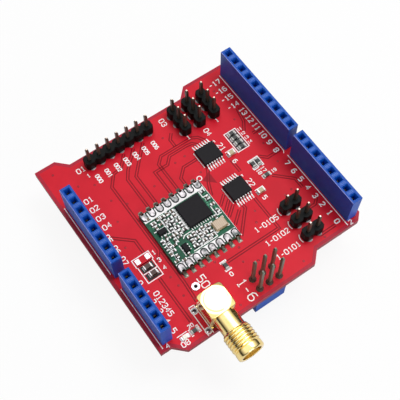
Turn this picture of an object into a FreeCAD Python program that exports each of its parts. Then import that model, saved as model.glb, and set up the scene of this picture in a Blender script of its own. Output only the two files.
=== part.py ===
import FreeCAD, Part

import os
import re

import Sketcher

# A radio shield: a stepped circuit board that plugs on a host board by four rows of
# pass-through sockets and a small socket below, and carries a castellated radio board,
# two logic chips, jumper headers and a right-angle antenna connector.
#
# Driving sizes in millimetres and counts; a size that follows others is written as their
# formula. Places are measured on the board: X along the
# socket rows, Y across the board, from the host board's corner, and Z up from the top
# face. Every row of pins stands on the host board's 2.54 pitch.
SIZES = {
    # Board outline with its stepped ends
    "board_left": 15.24,
    "board_right": 68.58,
    "board_deep": 53.34,
    "board_thick": 1.6,
    "step_in": 2.54,
    "right_step_low": 5.08,
    "left_step_low": 7.62,
    "step_high": 37.846,
    "corner_cut": 1.524,
    # Pin rows shared by every socket and header
    "pitch": 2.54,
    "drill": 1.0,
    "pin_side": 0.64,
    "pin_tip": 0.5,
    "pin_tip_side": 0.3,
    "seat_gap": 0.01,
    # Pass-through sockets
    "socket_wide": 2.54,
    "socket_tall": 8.5,
    "mouth_side": 1.5,
    "mouth_deep": 0.5,
    "throat_side": 0.95,
    "throat_deep": 6.6,
    "tail_drop": 11.0,
    "leaf_thick": 0.14,
    "leaf_wide": 0.5,
    "leaf_long": 5.2,
    "digital_row_y": "=board_deep - power_row_y",
    "power_row_y": 2.54,
    "digital_long_x": 18.796,
    "digital_long_count": 10,
    "digital_short_x": 45.72,
    "digital_short_count": 8,
    "power_x": 27.94,
    "power_count": 8,
    "analog_x": 50.8,
    "analog_count": 6,
    # Two-row socket below the board with long pins that stand up through it
    "under_x": 63.73,
    "under_y": "=24.86*board_deep/53.34",
    "under_wide": 5.3,
    "under_long": 8.0,
    "under_rows": 2,
    "under_count": 3,
    "under_pin_top": 9.8,
    # Black pin headers
    "header_wide": 2.5,
    "header_tall": 2.54,
    "header_cut": 0.55,
    "header_pin_top": 6.8,
    "header_pin_foot": 2.9,
    "side_x": 20.6,
    "side_y": "=11.47*board_deep/53.34",
    "side_count": 7,
    "select_x": 20.6,
    "select_y": "=33.9*board_deep/53.34",
    "select_step": "=4.0*board_deep/53.34",
    "select_count": 3,
    "link_x": 54.75,
    "link_y": "=40.37*board_deep/53.34",
    "link_step": 3.86,
    "link_count": 2,
    # Solder joints
    "joint_wide": 1.7,
    "joint_tall": 0.95,
    "joint_neck": 0.95,
    "leg_joint_wide": 2.3,
    "leg_joint_neck": 1.4,
    # Radio board with half holes along two edges
    "radio_right": 54.2,
    "radio_x": "=radio_right - radio_wide",
    "radio_y": "=13.1*board_deep/53.34",
    "radio_wide": 16.2,
    "radio_deep": 15.6,
    "radio_thick": 0.9,
    "radio_pad_count": 8,
    "radio_pad_pitch": 2.0,
    "radio_pad_wide": 1.2,
    "radio_pad_long": 1.7,
    "radio_pad_thick": 0.05,
    "half_hole": 0.8,
    "radio_fillet_out": 1.15,
    "radio_fillet_wide": 1.1,
    "radio_fillet_tall": 0.8,
    "radio_chip_x": 6.0,
    "radio_chip_y": 10.4,
    "radio_chip_side": 6.0,
    "radio_chip_tall": 0.9,
    "radio_chip_bevel": 0.12,
    "crystal_x": 11.75,
    "crystal_y": 13.2,
    "crystal_wide": 2.5,
    "crystal_deep": 3.2,
    "crystal_base_tall": 0.5,
    "crystal_lid_tall": 0.3,
    "crystal_lid_inset": 0.18,
    "switch_x": 12.2,
    "switch_y": 4.05,
    "switch_long": 2.0,
    "switch_wide": 1.25,
    "switch_tall": 0.9,
    "filter_x": 6.2,
    "filter_y": 2.0,
    # Small ceramic parts of the radio board, in blocks of rows and columns
    "speck_long": 1.0,
    "speck_wide": 0.55,
    "speck_tall": 0.5,
    "speck_end": 0.25,
    "block_right_x": 10.45,
    "block_right_y": 6.15,
    "block_right_dx": 1.25,
    "block_right_dy": 1.16,
    "block_low_x": 3.2,
    "block_low_y": 4.0,
    "block_low_dx": 1.28,
    "block_low_dy": 1.2,
    "block_foot_x": 8.35,
    "block_foot_y": 1.55,
    "block_foot_dx": 1.45,
    "block_head_x": 3.1,
    "block_head_y": 14.75,
    "block_head_dx": 1.9,
    "block_foot_left_x": 3.5,
    # Two logic chips with leads on two sides
    "logic_left_x": 33.85,
    "logic_right_x": 44.75,
    "logic_y": "=34.65*board_deep/53.34",
    "logic_wide": 4.4,
    "logic_deep": 5.0,
    "logic_tall": 1.0,
    "logic_lift": 0.1,
    "logic_draft": 8,
    "lead_count": 7,
    "lead_pitch": 0.65,
    "lead_wide": 0.28,
    "lead_thick": 0.14,
    "lead_span": 6.5,
    "lead_foot": 0.6,
    "lead_shoulder": 0.3,
    # Chip resistors and capacitors of the main board
    "resistor_long": 1.6,
    "resistor_wide": 0.85,
    "resistor_tall": 0.45,
    "resistor_end": 0.3,
    "quad_x": 32.35,
    "quad_y": "=42.05*board_deep/53.34",
    "quad_step": 1.36,
    "pair_x": 41.6,
    "pair_y": "=41.4*board_deep/53.34",
    "pair_step": 1.35,
    "single_x": 45.55,
    "single_y": "=42.25*board_deep/53.34",
    "lamp_resistor_x": 65.95,
    "lamp_resistor_y": "=8.4*board_deep/53.34",
    "tune_x": 58.0,
    "tune_y": "=22.0*board_deep/53.34",
    "capacitor_long": 1.75,
    "capacitor_wide": 0.95,
    "capacitor_tall": 0.85,
    "capacitor_end": 0.32,
    "capacitor_one_x": 36.6,
    "capacitor_one_y": "=39.0*board_deep/53.34",
    "capacitor_two_x": 48.1,
    "capacitor_two_y": "=38.75*board_deep/53.34",
    "capacitor_three_x": 48.75,
    "capacitor_three_y": "=8.25*board_deep/53.34",
    "capacitor_four_x": 50.65,
    "capacitor_four_y": "=8.55*board_deep/53.34",
    "lamp_x": 66.0,
    "lamp_y": "=6.0*board_deep/53.34",
    "lamp_dome_tall": 0.35,
    "lamp_dome_long": 0.95,
    "open_pad_x": 46.6,
    "open_pad_low_y": "=7.15*board_deep/53.34",
    "open_pad_high_y": "=9.6*board_deep/53.34",
    "open_pad_wide": 1.25,
    "open_pad_deep": 1.0,
    "open_pad_tall": 0.22,
    # Right-angle antenna connector
    "antenna_x": 64.7,
    "antenna_y": "=14.6*board_deep/53.34",
    "antenna_block": 6.0,
    "antenna_corner": 0.9,
    "antenna_tall": 6.2,
    "antenna_cap_wide": 5.3,
    "antenna_cap_tall": 0.25,
    "antenna_axis": 3.15,
    "neck_wide": 5.2,
    "neck_long": 3.6,
    "thread_wide": 6.35,
    "thread_long": 5.9,
    "thread_bevel": 0.4,
    "bore_wide": 4.6,
    "bore_deep": 1.9,
    "insulator_wide": 4.1,
    "contact_wide": 1.27,
    "contact_bore": 0.94,
    "contact_bore_deep": 3.0,
    "riser_wide": 3.2,
    "core_over": 0.4,
    "riser_pin": 0.9,
    "leg_side": 1.0,
    "leg_span": 5.08,
    "leg_long": 3.2,
    "leg_drill": 1.5,
    # Plated holes left open beside the antenna connector
    "spare_left_x": 62.45,
    "spare_right_x": 67.6,
    "spare_y": "=antenna_y - 3.85",
    "spare_hole": 0.95,
    "spare_ring": 1.55,
    "spare_ring_tall": 0.06,
    "feed_x": 58.2,
    "feed_y": "=antenna_y - 0.5",
    "feed_hole": 0.5,
    "feed_ring": 1.75,
    "feed_ring_tall": 0.25,
}

DOC = FreeCAD.newDocument("RadioShield")
NODES = []

# The origin lies under the middle of the whole part, at the level of the pin tips.
ANTENNA_TIP = "antenna_x + antenna_block/2 + neck_long + thread_long"
ORIGIN_X = f"(board_left + {ANTENNA_TIP})/2"
ORIGIN_Y = "board_deep/2"
ORIGIN_Z = "tail_drop"


def make_sheet():
    """Writes the sizes into a spreadsheet, one alias for each."""
    sheet = DOC.addObject("Spreadsheet::Sheet", "Sizes")
    for row, (alias, size) in enumerate(SIZES.items(), start=1):
        sheet.set(f"A{row}", alias)
        sheet.set(f"B{row}", str(size))
        sheet.setAlias(f"B{row}", alias)
    DOC.recompute()
    return sheet


SHEET = make_sheet()


def bound(text):
    """The expression in which each size named in the text points at its cell."""
    return re.sub(r"[a-z][a-z0-9_]+", lambda word: f"Sizes.{word.group()}", str(text))


def number(text):
    """The present value of an expression."""
    return float(SHEET.evalExpression(bound(text)))


def count(alias):
    """A count from the sizes, as a whole number."""
    return int(SIZES[alias])


# Helpers for placing and naming

def place(piece, x, y, z="0"):
    """Puts a piece's own origin at a place on the board."""
    for axis, here, origin in (("x", x, ORIGIN_X), ("y", y, ORIGIN_Y)):
        piece.setExpression(f"Placement.Base.{axis}", bound(f"({here}) - ({origin})"))
    piece.setExpression("Placement.Base.z", bound(f"({z}) + {ORIGIN_Z}"))


def node(piece, label):
    """Gives a finished piece its name and lists it for export."""
    piece.Label = label
    NODES.append(piece)
    return piece


def group(label, pieces):
    """Like pieces that share one name, as separate solids."""
    compound = DOC.addObject("Part::Compound", label)
    compound.Links = pieces
    return node(compound, label)


# Helpers for sketches and features

def new_body(label):
    return DOC.addObject("PartDesign::Body", label)


def datum(body, role):
    """One of a body's own origin planes or axes."""
    return next(item for item in body.Origin.OriginFeatures if item.Role == role)


def sketch_on(body, label, role="XY_Plane", lift="0", rise="0"):
    """A sketch on an origin plane, moved along its normal by lift and in its own Y by rise."""
    sketch = body.newObject("Sketcher::SketchObject", label)
    sketch.AttachmentSupport = [(datum(body, role), "")]
    sketch.MapMode = "FlatFace"
    sketch.setExpression("AttachmentOffset.Base.z", bound(lift))
    sketch.setExpression("AttachmentOffset.Base.y", bound(rise))
    return sketch


def pin_point(sketch, curve, spot, x, y):
    """Binds one point of a curve to two expressions."""
    for kind, text in (("DistanceX", x), ("DistanceY", y)):
        rule = Sketcher.Constraint(kind, -1, 1, curve, spot, number(text))
        index = sketch.addConstraint(rule)
        sketch.setExpression(f"Constraints[{index}]", bound(text))


def outline(sketch, corners):
    """A closed outline through corners given as pairs of expressions."""
    points = [FreeCAD.Vector(number(x), number(y), 0) for x, y in corners]
    first = sketch.GeometryCount
    total = len(points)
    for i in range(total):
        sketch.addGeometry(Part.LineSegment(points[i], points[(i + 1) % total]), False)
    for i in range(total):
        after = first + (i + 1) % total
        sketch.addConstraint(Sketcher.Constraint("Coincident", first + i, 2, after, 1))
    for i, (x, y) in enumerate(corners):
        pin_point(sketch, first + i, 1, x, y)


def rectangle(sketch, wide, deep, x="0", y="0"):
    """A rectangle about a centre."""
    low_x, high_x = f"({x}) - ({wide})/2", f"({x}) + ({wide})/2"
    low_y, high_y = f"({y}) - ({deep})/2", f"({y}) + ({deep})/2"
    outline(sketch, [(low_x, low_y), (high_x, low_y), (high_x, high_y), (low_x, high_y)])


def cut_rectangle(sketch, wide, deep, cut, x="0", y="0"):
    """A rectangle about a centre with its four corners cut off."""
    left, right = f"({x}) - ({wide})/2", f"({x}) + ({wide})/2"
    low, high = f"({y}) - ({deep})/2", f"({y}) + ({deep})/2"
    outline(sketch, [
        (f"{left} + ({cut})", low), (f"{right} - ({cut})", low),
        (right, f"{low} + ({cut})"), (right, f"{high} - ({cut})"),
        (f"{right} - ({cut})", high), (f"{left} + ({cut})", high),
        (left, f"{high} - ({cut})"), (left, f"{low} + ({cut})"),
    ])


def circle(sketch, wide, x="0", y="0"):
    """A circle of the given diameter about a centre."""
    centre = FreeCAD.Vector(number(x), number(y), 0)
    curve = sketch.addGeometry(Part.Circle(centre, FreeCAD.Vector(0, 0, 1), number(wide) / 2), False)
    index = sketch.addConstraint(Sketcher.Constraint("Diameter", curve, number(wide)))
    sketch.setExpression(f"Constraints[{index}]", bound(wide))
    pin_point(sketch, curve, 3, x, y)


def pad(body, sketch, length, down=False, middle=False, taper="0"):
    """Material grown from a sketch."""
    feature = body.newObject("PartDesign::Pad", f"{sketch.Name}_pad")
    feature.Profile = sketch
    feature.Reversed = down
    feature.Midplane = middle
    feature.setExpression("Length", bound(length))
    feature.setExpression("TaperAngle", bound(taper))
    return feature


def pocket(body, sketch, length, up=False):
    """Material cut away below a sketch, or above it."""
    feature = body.newObject("PartDesign::Pocket", f"{sketch.Name}_pocket")
    feature.Profile = sketch
    feature.Reversed = up
    feature.setExpression("Length", bound(length))
    return feature


def wedge(body, label, kind, low_wide, low_deep, low, high_wide, high_deep, high, across="0"):
    """A square taper along Z between two levels, added or cut away, about X nought."""
    feature = body.newObject(f"PartDesign::{kind}Wedge", label)
    feature.AttachmentSupport = [(datum(body, "XZ_Plane"), "")]
    feature.MapMode = "FlatFace"
    feature.setExpression("AttachmentOffset.Base.z", bound(f"-({across})"))
    feature.setExpression("Ymin", bound(low))
    feature.setExpression("Ymax", bound(high))
    for letter, start, end in (("X", low_wide, high_wide), ("Z", low_deep, high_deep)):
        feature.setExpression(f"{letter}min", bound(f"-({start})/2"))
        feature.setExpression(f"{letter}max", bound(f"({start})/2"))
        feature.setExpression(f"{letter}2min", bound(f"-({end})/2"))
        feature.setExpression(f"{letter}2max", bound(f"({end})/2"))
    return feature


def revolve(body, sketch, kind="Revolution"):
    """A full turn about the sketch's own X axis."""
    feature = body.newObject(f"PartDesign::{kind}", f"{sketch.Name}_turn")
    feature.Profile = sketch
    feature.ReferenceAxis = (sketch, ["H_Axis"])
    feature.Angle = 360
    return feature


def repeat(body, features, role, copies, step):
    """Features repeated along one of the body's own axes."""
    pattern = body.newObject("PartDesign::LinearPattern", f"{features[0].Name}_row")
    pattern.Originals = features
    pattern.Direction = (datum(body, role), [""])
    pattern.setExpression("Length", bound(f"({copies} - 1)*{step}"))
    pattern.setExpression("Occurrences", bound(copies))
    body.Tip = pattern
    return pattern


def brick(label, wide, deep, tall, x, y, z="0"):
    """A plain block about a place on the board, standing on the level z."""
    box = DOC.addObject("Part::Box", label)
    box.setExpression("Length", bound(wide))
    box.setExpression("Width", bound(deep))
    box.setExpression("Height", bound(tall))
    place(box, f"({x}) - ({wide})/2", f"({y}) - ({deep})/2", z)
    return box


def rod(label, wide, tall, x, y, z, along_x=False):
    """A round bar that stands on the level z, or lies along X from the place."""
    bar = DOC.addObject("Part::Cylinder", label)
    bar.setExpression("Radius", bound(f"({wide})/2"))
    bar.setExpression("Height", bound(tall))
    if along_x:
        bar.Placement.Rotation = FreeCAD.Rotation(FreeCAD.Vector(0, 1, 0), 90)
    place(bar, x, y, z)
    return bar


def joined(label, base, tool, kind="Fuse"):
    """Two pieces fused, or the second cut from the first."""
    result = DOC.addObject(f"Part::{kind}", label)
    result.Base = base
    result.Tool = tool
    return result


# Main board

def pin_rows():
    """Each row of pins as its label, first place, direction and count."""
    rows = [
        ("digital_long", "digital_long_x", "digital_row_y", "X", "digital_long_count"),
        ("digital_short", "digital_short_x", "digital_row_y", "X", "digital_short_count"),
        ("power", "power_x", "power_row_y", "X", "power_count"),
        ("analog", "analog_x", "power_row_y", "X", "analog_count"),
        ("side", "side_x", "side_y", "Y", "side_count"),
    ]
    for i in range(3):
        rows.append((f"select_{i}", "select_x", f"select_y + {i}*select_step", "X", "select_count"))
        rows.append((f"link_{i}", f"link_x + {i}*link_step", "link_y", "Y", "link_count"))
    for i in range(count("under_rows")):
        rows.append((f"under_{i}", f"under_x + {i}*pitch", "under_y", "Y", "under_count"))
    return rows


def leg_places():
    """The four corner legs of the antenna connector."""
    return [
        (f"antenna_x + {i}*leg_span/2", f"antenna_y + {j}*leg_span/2")
        for i in (-1, 1)
        for j in (-1, 1)
    ]


def main_board():
    body = new_body("main_board")
    shape = sketch_on(body, "board_outline")
    inner_right, inner_left = "board_right - step_in", "board_left + step_in"
    outline(shape, [
        ("board_left", "0"),
        (inner_right, "0"),
        (inner_right, "right_step_low - step_in"),
        ("board_right", "right_step_low"),
        ("board_right", "step_high"),
        (inner_right, "step_high + step_in"),
        (inner_right, "board_deep - corner_cut"),
        (f"{inner_right} - corner_cut", "board_deep"),
        ("board_left", "board_deep"),
        ("board_left", "step_high + step_in"),
        (inner_left, "step_high"),
        (inner_left, "left_step_low"),
        ("board_left", "left_step_low - step_in"),
    ])
    pad(body, shape, "board_thick", down=True)
    for label, x, y, way, copies in pin_rows():
        drill = sketch_on(body, f"{label}_drill")
        cut_rectangle(drill, "drill", "drill", "drill*0.29", x, y)
        repeat(body, [pocket(body, drill, "board_thick")], f"{way}_Axis", copies, "pitch")
    holes = sketch_on(body, "board_holes")
    for x, y in leg_places():
        cut_rectangle(holes, "leg_drill", "leg_drill", "leg_drill*0.29", x, y)
    cut_rectangle(holes, "drill", "drill", "drill*0.29", "antenna_x", "antenna_y")
    circle(holes, "spare_hole", "spare_left_x", "spare_y")
    circle(holes, "spare_hole", "spare_right_x", "spare_y")
    circle(holes, "feed_hole", "feed_x", "feed_y")
    pocket(body, holes, "board_thick")
    place(body, "0", "0")
    node(body, "main_board")


# Sockets

def socket_housing(label, copies, wide, long, rows="1"):
    """A moulded housing with square throats, open above, standing on its own origin at pin one."""
    body = new_body(f"{label}_housing")
    middle_x, middle_y = f"({copies} - 1)*pitch/2", f"({rows} - 1)*pitch/2"
    wall = sketch_on(body, f"{label}_wall")
    rectangle(wall, long, wide, middle_x, middle_y)
    pad(body, wall, "socket_tall")
    for row in range(count(rows) if rows != "1" else 1):
        across = f"{row}*pitch"
        mouth = wedge(body, f"{label}_mouth_{row}", "Subtractive", "throat_side", "throat_side",
                      "socket_tall - mouth_deep", "mouth_side", "mouth_side", "socket_tall",
                      across)
        throat = sketch_on(body, f"{label}_throat_{row}", lift="socket_tall - mouth_deep")
        rectangle(throat, "throat_side", "throat_side", "0", across)
        slot = sketch_on(body, f"{label}_slot_{row}", lift="socket_tall - throat_deep")
        rectangle(slot, "pin_side + 2*seat_gap", "pin_side + 2*seat_gap", "0", across)
        cuts = [
            mouth,
            pocket(body, throat, "throat_deep - mouth_deep"),
            pocket(body, slot, "socket_tall - throat_deep"),
        ]
        repeat(body, cuts, "X_Axis", copies, "pitch")
    return body


def socket_contacts(label, copies, drop, rows="1"):
    """Fork contacts: two leaves in the throat on a square tail that ends in a tapered tip."""
    body = new_body(f"{label}_contacts")
    base = "socket_tall - throat_deep"
    for row in range(count(rows) if rows != "1" else 1):
        across = f"{row}*pitch"
        tail = sketch_on(body, f"{label}_tail_{row}", lift=f"pin_tip - ({drop})")
        rectangle(tail, "pin_side", "pin_side", "0", across)
        leaves = sketch_on(body, f"{label}_leaves_{row}", lift=base)
        leaf_away = "(pin_side - leaf_thick)/2"
        for side in (-1, 1):
            rectangle(leaves, "leaf_thick", "leaf_wide", f"{side}*{leaf_away}", across)
        parts = [
            wedge(body, f"{label}_tip_{row}", "Additive", "pin_tip_side", "pin_tip_side",
                  f"-({drop})", "pin_side", "pin_side", f"pin_tip - ({drop})", across),
            pad(body, tail, f"{drop} - pin_tip + {base}"),
            pad(body, leaves, "leaf_long"),
        ]
        repeat(body, parts, "X_Axis", copies, "pitch")
    return body


def pass_through_sockets():
    rows = {
        "digital_long": "digital_row_y", "digital_short": "digital_row_y",
        "power": "power_row_y", "analog": "power_row_y",
    }
    for label, y in rows.items():
        copies = f"{label}_count"
        housing = socket_housing(label, copies, "socket_wide", f"{copies}*pitch")
        place(housing, f"{label}_x", y)
        node(housing, f"{label}_socket")
        contacts = socket_contacts(label, copies, "tail_drop")
        place(contacts, f"{label}_x", y)
        node(contacts, f"{label}_contacts")


def under_socket():
    """The same make of socket in two rows, upside down below the board."""
    housing = socket_housing("under", "under_count", "under_wide", "under_long", "under_rows")
    contacts = socket_contacts("under", "under_count", "board_thick + under_pin_top", "under_rows")
    for piece in (housing, contacts):
        flip = FreeCAD.Rotation(FreeCAD.Vector(1, 1, 0), 180)
        piece.Placement.Rotation = flip
        place(piece, "under_x", "under_y", "-board_thick")
    node(housing, "under_socket")
    node(contacts, "under_socket_pins")


# Black pin headers

def header_housing(label, copies):
    """A row of joined eight-sided cells along the body's X axis."""
    body = new_body(f"{label}_housing")
    ring = sketch_on(body, f"{label}_cells")
    half, edge = "header_wide/2", "pitch/2"
    lower, upper = [], []
    for i in range(count(copies)):
        start, end = f"{i}*pitch - {edge}", f"{i}*pitch + {edge}"
        if i == 0:
            lower.append((start, f"header_cut - {half}"))
            upper.append((start, f"{half} - header_cut"))
        lower += [(f"{start} + header_cut", f"-{half}"), (f"{end} - header_cut", f"-{half}"),
                  (end, f"header_cut - {half}")]
        upper += [(f"{start} + header_cut", half), (f"{end} - header_cut", half),
                  (end, f"{half} - header_cut")]
    outline(ring, lower + upper[::-1])
    pad(body, ring, "header_tall")
    slot = sketch_on(body, f"{label}_slot", lift="header_tall")
    rectangle(slot, "pin_side + 2*seat_gap", "pin_side + 2*seat_gap")
    repeat(body, [pocket(body, slot, "header_tall")], "X_Axis", copies, "pitch")
    return body


def header_pins(label, copies):
    """Square pins with a taper at both ends, pressed through the housing."""
    body = new_body(f"{label}_pins")
    shank = sketch_on(body, f"{label}_shank", lift="pin_tip - header_pin_foot")
    rectangle(shank, "pin_side", "pin_side")
    parts = [
        pad(body, shank, "header_pin_top + header_pin_foot - 2*pin_tip"),
        wedge(body, f"{label}_foot", "Additive", "pin_tip_side", "pin_tip_side",
              "-header_pin_foot", "pin_side", "pin_side", "pin_tip - header_pin_foot"),
        wedge(body, f"{label}_top", "Additive", "pin_side", "pin_side",
              "header_pin_top - pin_tip", "pin_tip_side", "pin_tip_side", "header_pin_top"),
    ]
    repeat(body, parts, "X_Axis", copies, "pitch")
    return body


def pin_headers():
    turn = FreeCAD.Rotation(FreeCAD.Vector(0, 0, 1), 90)
    for label, x, y, way, copies in pin_rows():
        if label.split("_")[0] not in ("side", "select", "link"):
            continue
        for piece, name in (
            (header_housing(label, copies), f"{label}_header"),
            (header_pins(label, copies), f"{label}_pins"),
        ):
            if way == "Y":
                piece.Placement.Rotation = turn
            place(piece, x, y)
            node(piece, name)


# Solder joints

def joint_row(label, x, y, way, copies, above=False):
    """Tapered mounds of solder round the pins of one row, with the pin's square left free."""
    body = new_body(f"{label}_joints")
    cone = wedge(body, f"{label}_joint", "Additive", "joint_wide", "joint_wide", "0",
                 "joint_neck", "joint_neck", "joint_tall")
    hole = sketch_on(body, f"{label}_joint_hole", lift="joint_tall")
    rectangle(hole, "pin_side + 2*seat_gap", "pin_side + 2*seat_gap")
    free = pocket(body, hole, "joint_tall")
    repeat(body, [cone, free], "X_Axis", copies, "pitch")
    turn = FreeCAD.Rotation(FreeCAD.Vector(0, 0, 1), 90 if way == "Y" else 0)
    if above:
        body.Placement.Rotation = turn
    else:
        over = FreeCAD.Vector(1, 1, 0) if way == "Y" else FreeCAD.Vector(1, 0, 0)
        body.Placement.Rotation = FreeCAD.Rotation(over, 180)
    place(body, x, y, "0" if above else "-board_thick")
    return body


def leg_joint(label, x, y):
    """A mound of solder under the board round one square leg of the antenna connector."""
    body = new_body(label)
    wedge(body, f"{label}_mound", "Additive", "leg_joint_wide", "leg_joint_wide", "0",
          "leg_joint_neck", "leg_joint_neck", "joint_tall")
    hole = sketch_on(body, f"{label}_hole", lift="joint_tall")
    rectangle(hole, "leg_side + 2*seat_gap", "leg_side + 2*seat_gap")
    pocket(body, hole, "joint_tall")
    body.Placement.Rotation = FreeCAD.Rotation(FreeCAD.Vector(1, 0, 0), 180)
    place(body, x, y, "-board_thick")
    return body


def solder_joints():
    rows = {"socket_solder": [], "header_solder": [], "under_socket_solder": []}
    for label, x, y, way, copies in pin_rows():
        kind = label.split("_")[0]
        home = "under_socket_solder" if kind == "under" else "header_solder"
        if kind in ("digital", "power", "analog"):
            home = "socket_solder"
        rows[home].append(joint_row(label, x, y, way, copies, above=kind == "under"))
    for label, pieces in rows.items():
        group(label, pieces)
    group("antenna_solder", [
        leg_joint(f"antenna_joint_{i}", x, y) for i, (x, y) in enumerate(leg_places())
    ])


# Radio board

def radio_board():
    body = new_body("radio_board")
    face = sketch_on(body, "radio_outline")
    rectangle(face, "radio_wide", "radio_deep")
    pad(body, face, "radio_thick")
    first = "-(radio_pad_count - 1)*radio_pad_pitch/2"
    bites = sketch_on(body, "radio_half_holes", lift="radio_thick")
    for side in (-1, 1):
        cut_rectangle(bites, "half_hole", "half_hole", "half_hole*0.29",
                      f"{side}*radio_wide/2", first)
    bite = pocket(body, bites, "radio_thick")
    repeat(body, [bite], "Y_Axis", "radio_pad_count", "radio_pad_pitch")
    node(body, "radio_board")

    pads = new_body("radio_pads")
    inner = "radio_wide/2 - radio_pad_long"
    step = "radio_pad_wide*0.3"
    marks = sketch_on(pads, "radio_pad", lift="radio_thick")
    for side in (-1, 1):
        edge, back = f"{side}*(radio_wide/2 - half_hole/2)", f"{side}*({inner})"
        bend = f"{side}*({inner} + {step})"
        half = "radio_pad_wide/2"
        outline(marks, [
            (edge, f"{first} - {half}"), (bend, f"{first} - {half}"),
            (back, f"{first} - {half} + {step}"), (back, f"{first} + {half} - {step}"),
            (bend, f"{first} + {half}"), (edge, f"{first} + {half}"),
        ])
    repeat(pads, [pad(pads, marks, "radio_pad_thick")], "Y_Axis",
           "radio_pad_count", "radio_pad_pitch")
    node(pads, "radio_pads")

    fillets = new_body("radio_solder")
    parts = []
    for side in (-1, 1):
        wedge = sketch_on(fillets, f"radio_wedge_{side + 1}", "XZ_Plane", lift=f"-({first})")
        edge = "radio_wide/2 + seat_gap"
        outline(wedge, [
            (f"{side}*({edge})", "0"), (f"{side}*({edge} + radio_fillet_out)", "0"),
            (f"{side}*({edge} + radio_fillet_out)", "radio_pad_thick"),
            (f"{side}*({edge} + radio_fillet_out*0.3)", "radio_fillet_tall*0.45"),
            (f"{side}*({edge})", "radio_fillet_tall"),
        ])
        parts.append(pad(fillets, wedge, "radio_fillet_wide", middle=True))
    repeat(fillets, parts, "Y_Axis", "radio_pad_count", "radio_pad_pitch")
    node(fillets, "radio_solder")
    for piece in (body, pads, fillets):
        place(piece, "radio_x + radio_wide/2", "radio_y + radio_deep/2")


def on_radio(x, y):
    """A place measured from the radio board's own corner."""
    return f"radio_x + {x}", f"radio_y + {y}"


def bevelled_chip(label, wide, deep, tall, bevel, x, y, z):
    """A moulded block whose top edges are bevelled."""
    body = new_body(label)
    low = sketch_on(body, f"{label}_low")
    rectangle(low, wide, deep)
    pad(body, low, f"{tall} - {bevel}")
    wedge(body, f"{label}_crown", "Additive", wide, deep, f"{tall} - {bevel}",
          f"{wide} - 2*{bevel}", f"{deep} - 2*{bevel}", tall)
    place(body, x, y, z)
    return node(body, label)


def radio_chips():
    top = "radio_thick"
    bevelled_chip("radio_chip", "radio_chip_side", "radio_chip_side", "radio_chip_tall",
                  "radio_chip_bevel", *on_radio("radio_chip_x", "radio_chip_y"), top)
    bevelled_chip("radio_switch_chip", "switch_long", "switch_wide", "switch_tall",
                  "radio_chip_bevel", *on_radio("switch_x", "switch_y"), top)
    bevelled_chip("radio_filter_chip", "switch_wide", "switch_long", "switch_tall",
                  "radio_chip_bevel", *on_radio("filter_x", "filter_y"), top)
    spot = on_radio("crystal_x", "crystal_y")
    node(brick("crystal_base", "crystal_wide", "crystal_deep", "crystal_base_tall",
               *spot, top), "crystal_base")
    node(brick("crystal_lid", "crystal_wide - 2*crystal_lid_inset",
               "crystal_deep - 2*crystal_lid_inset", "crystal_lid_tall",
               *spot, f"{top} + crystal_base_tall"), "crystal_lid")


# Ceramic chip parts: a body between two metal ends

def chip_part(label, kind, x, y, along_y, z="0"):
    """One chip part as its body and its two ends."""
    long, wide, tall, end = (f"{kind}_{word}" for word in ("long", "wide", "tall", "end"))
    middle = f"{long} - 2*{end}"
    away = f"({long} - {end})/2"
    flat = (wide, middle) if along_y else (middle, wide)
    body = brick(f"{label}_body", *flat, tall, x, y, z)
    ends = []
    for side in (-1, 1):
        flat = (wide, end) if along_y else (end, wide)
        spot = (x, f"{y} + {side}*{away}") if along_y else (f"{x} + {side}*{away}", y)
        ends.append(brick(f"{label}_end", *flat, tall, *spot, z))
    return body, ends


def chip_parts(label, kind, places, z="0"):
    """A set of like chip parts: one group for the bodies and one for the metal ends."""
    bodies, ends = [], []
    for i, (x, y, along_y) in enumerate(places):
        body, pair = chip_part(f"{label}_{i}", kind, x, y, along_y, z)
        bodies.append(body)
        ends += pair
    group(f"{label}_bodies", bodies)
    group(f"{label}_ends", ends)


def block_places(x, y, dx, dy, columns, rows):
    """Places on the radio board in rows and columns, turned by turns."""
    x, y = on_radio(x, y)
    return [
        (f"{x} + {i}*{dx}", f"{y} + {j}*{dy}", (i + j) % 2 == 0)
        for j in range(rows)
        for i in range(columns)
    ]


def small_parts():
    specks = block_places("block_right_x", "block_right_y", "block_right_dx", "block_right_dy", 3, 5)
    specks += block_places("block_low_x", "block_low_y", "block_low_dx", "block_low_dy", 5, 3)
    specks += block_places("block_foot_x", "block_foot_y", "block_foot_dx", "0", 4, 1)
    specks += block_places("block_head_x", "block_head_y", "block_head_dx", "0", 4, 1)
    specks += block_places("block_foot_left_x", "block_foot_y", "block_low_dx", "0", 2, 1)
    chip_parts("radio_part", "speck", specks, "radio_thick")

    resistors = [(f"quad_x + {i}*quad_step", "quad_y", True) for i in range(4)]
    resistors += [("pair_x", f"pair_y + {i}*pair_step", False) for i in range(2)]
    resistors += [
        ("single_x", "single_y", True),
        ("lamp_resistor_x", "lamp_resistor_y", True),
        ("tune_x", "tune_y", False),
    ]
    chip_parts("resistor", "resistor", resistors)

    words = ("one", "two", "three", "four")
    capacitors = [(f"capacitor_{word}_x", f"capacitor_{word}_y", True) for word in words]
    chip_parts("capacitor", "capacitor", capacitors)

    body, ends = chip_part("power_lamp", "resistor", "lamp_x", "lamp_y", True)
    node(body, "power_lamp_base")
    group("power_lamp_ends", ends)
    node(brick("power_lamp_dome", "resistor_wide - 4*seat_gap", "lamp_dome_long", "lamp_dome_tall",
               "lamp_x", "lamp_y", "resistor_tall"), "power_lamp_dome")

    pads = [
        brick(f"open_pad_{word}", "open_pad_wide", "open_pad_deep", "open_pad_tall",
              "open_pad_x", f"open_pad_{word}_y")
        for word in ("low", "high")
    ]
    group("open_link_pads", pads)


# Logic chips

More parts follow.
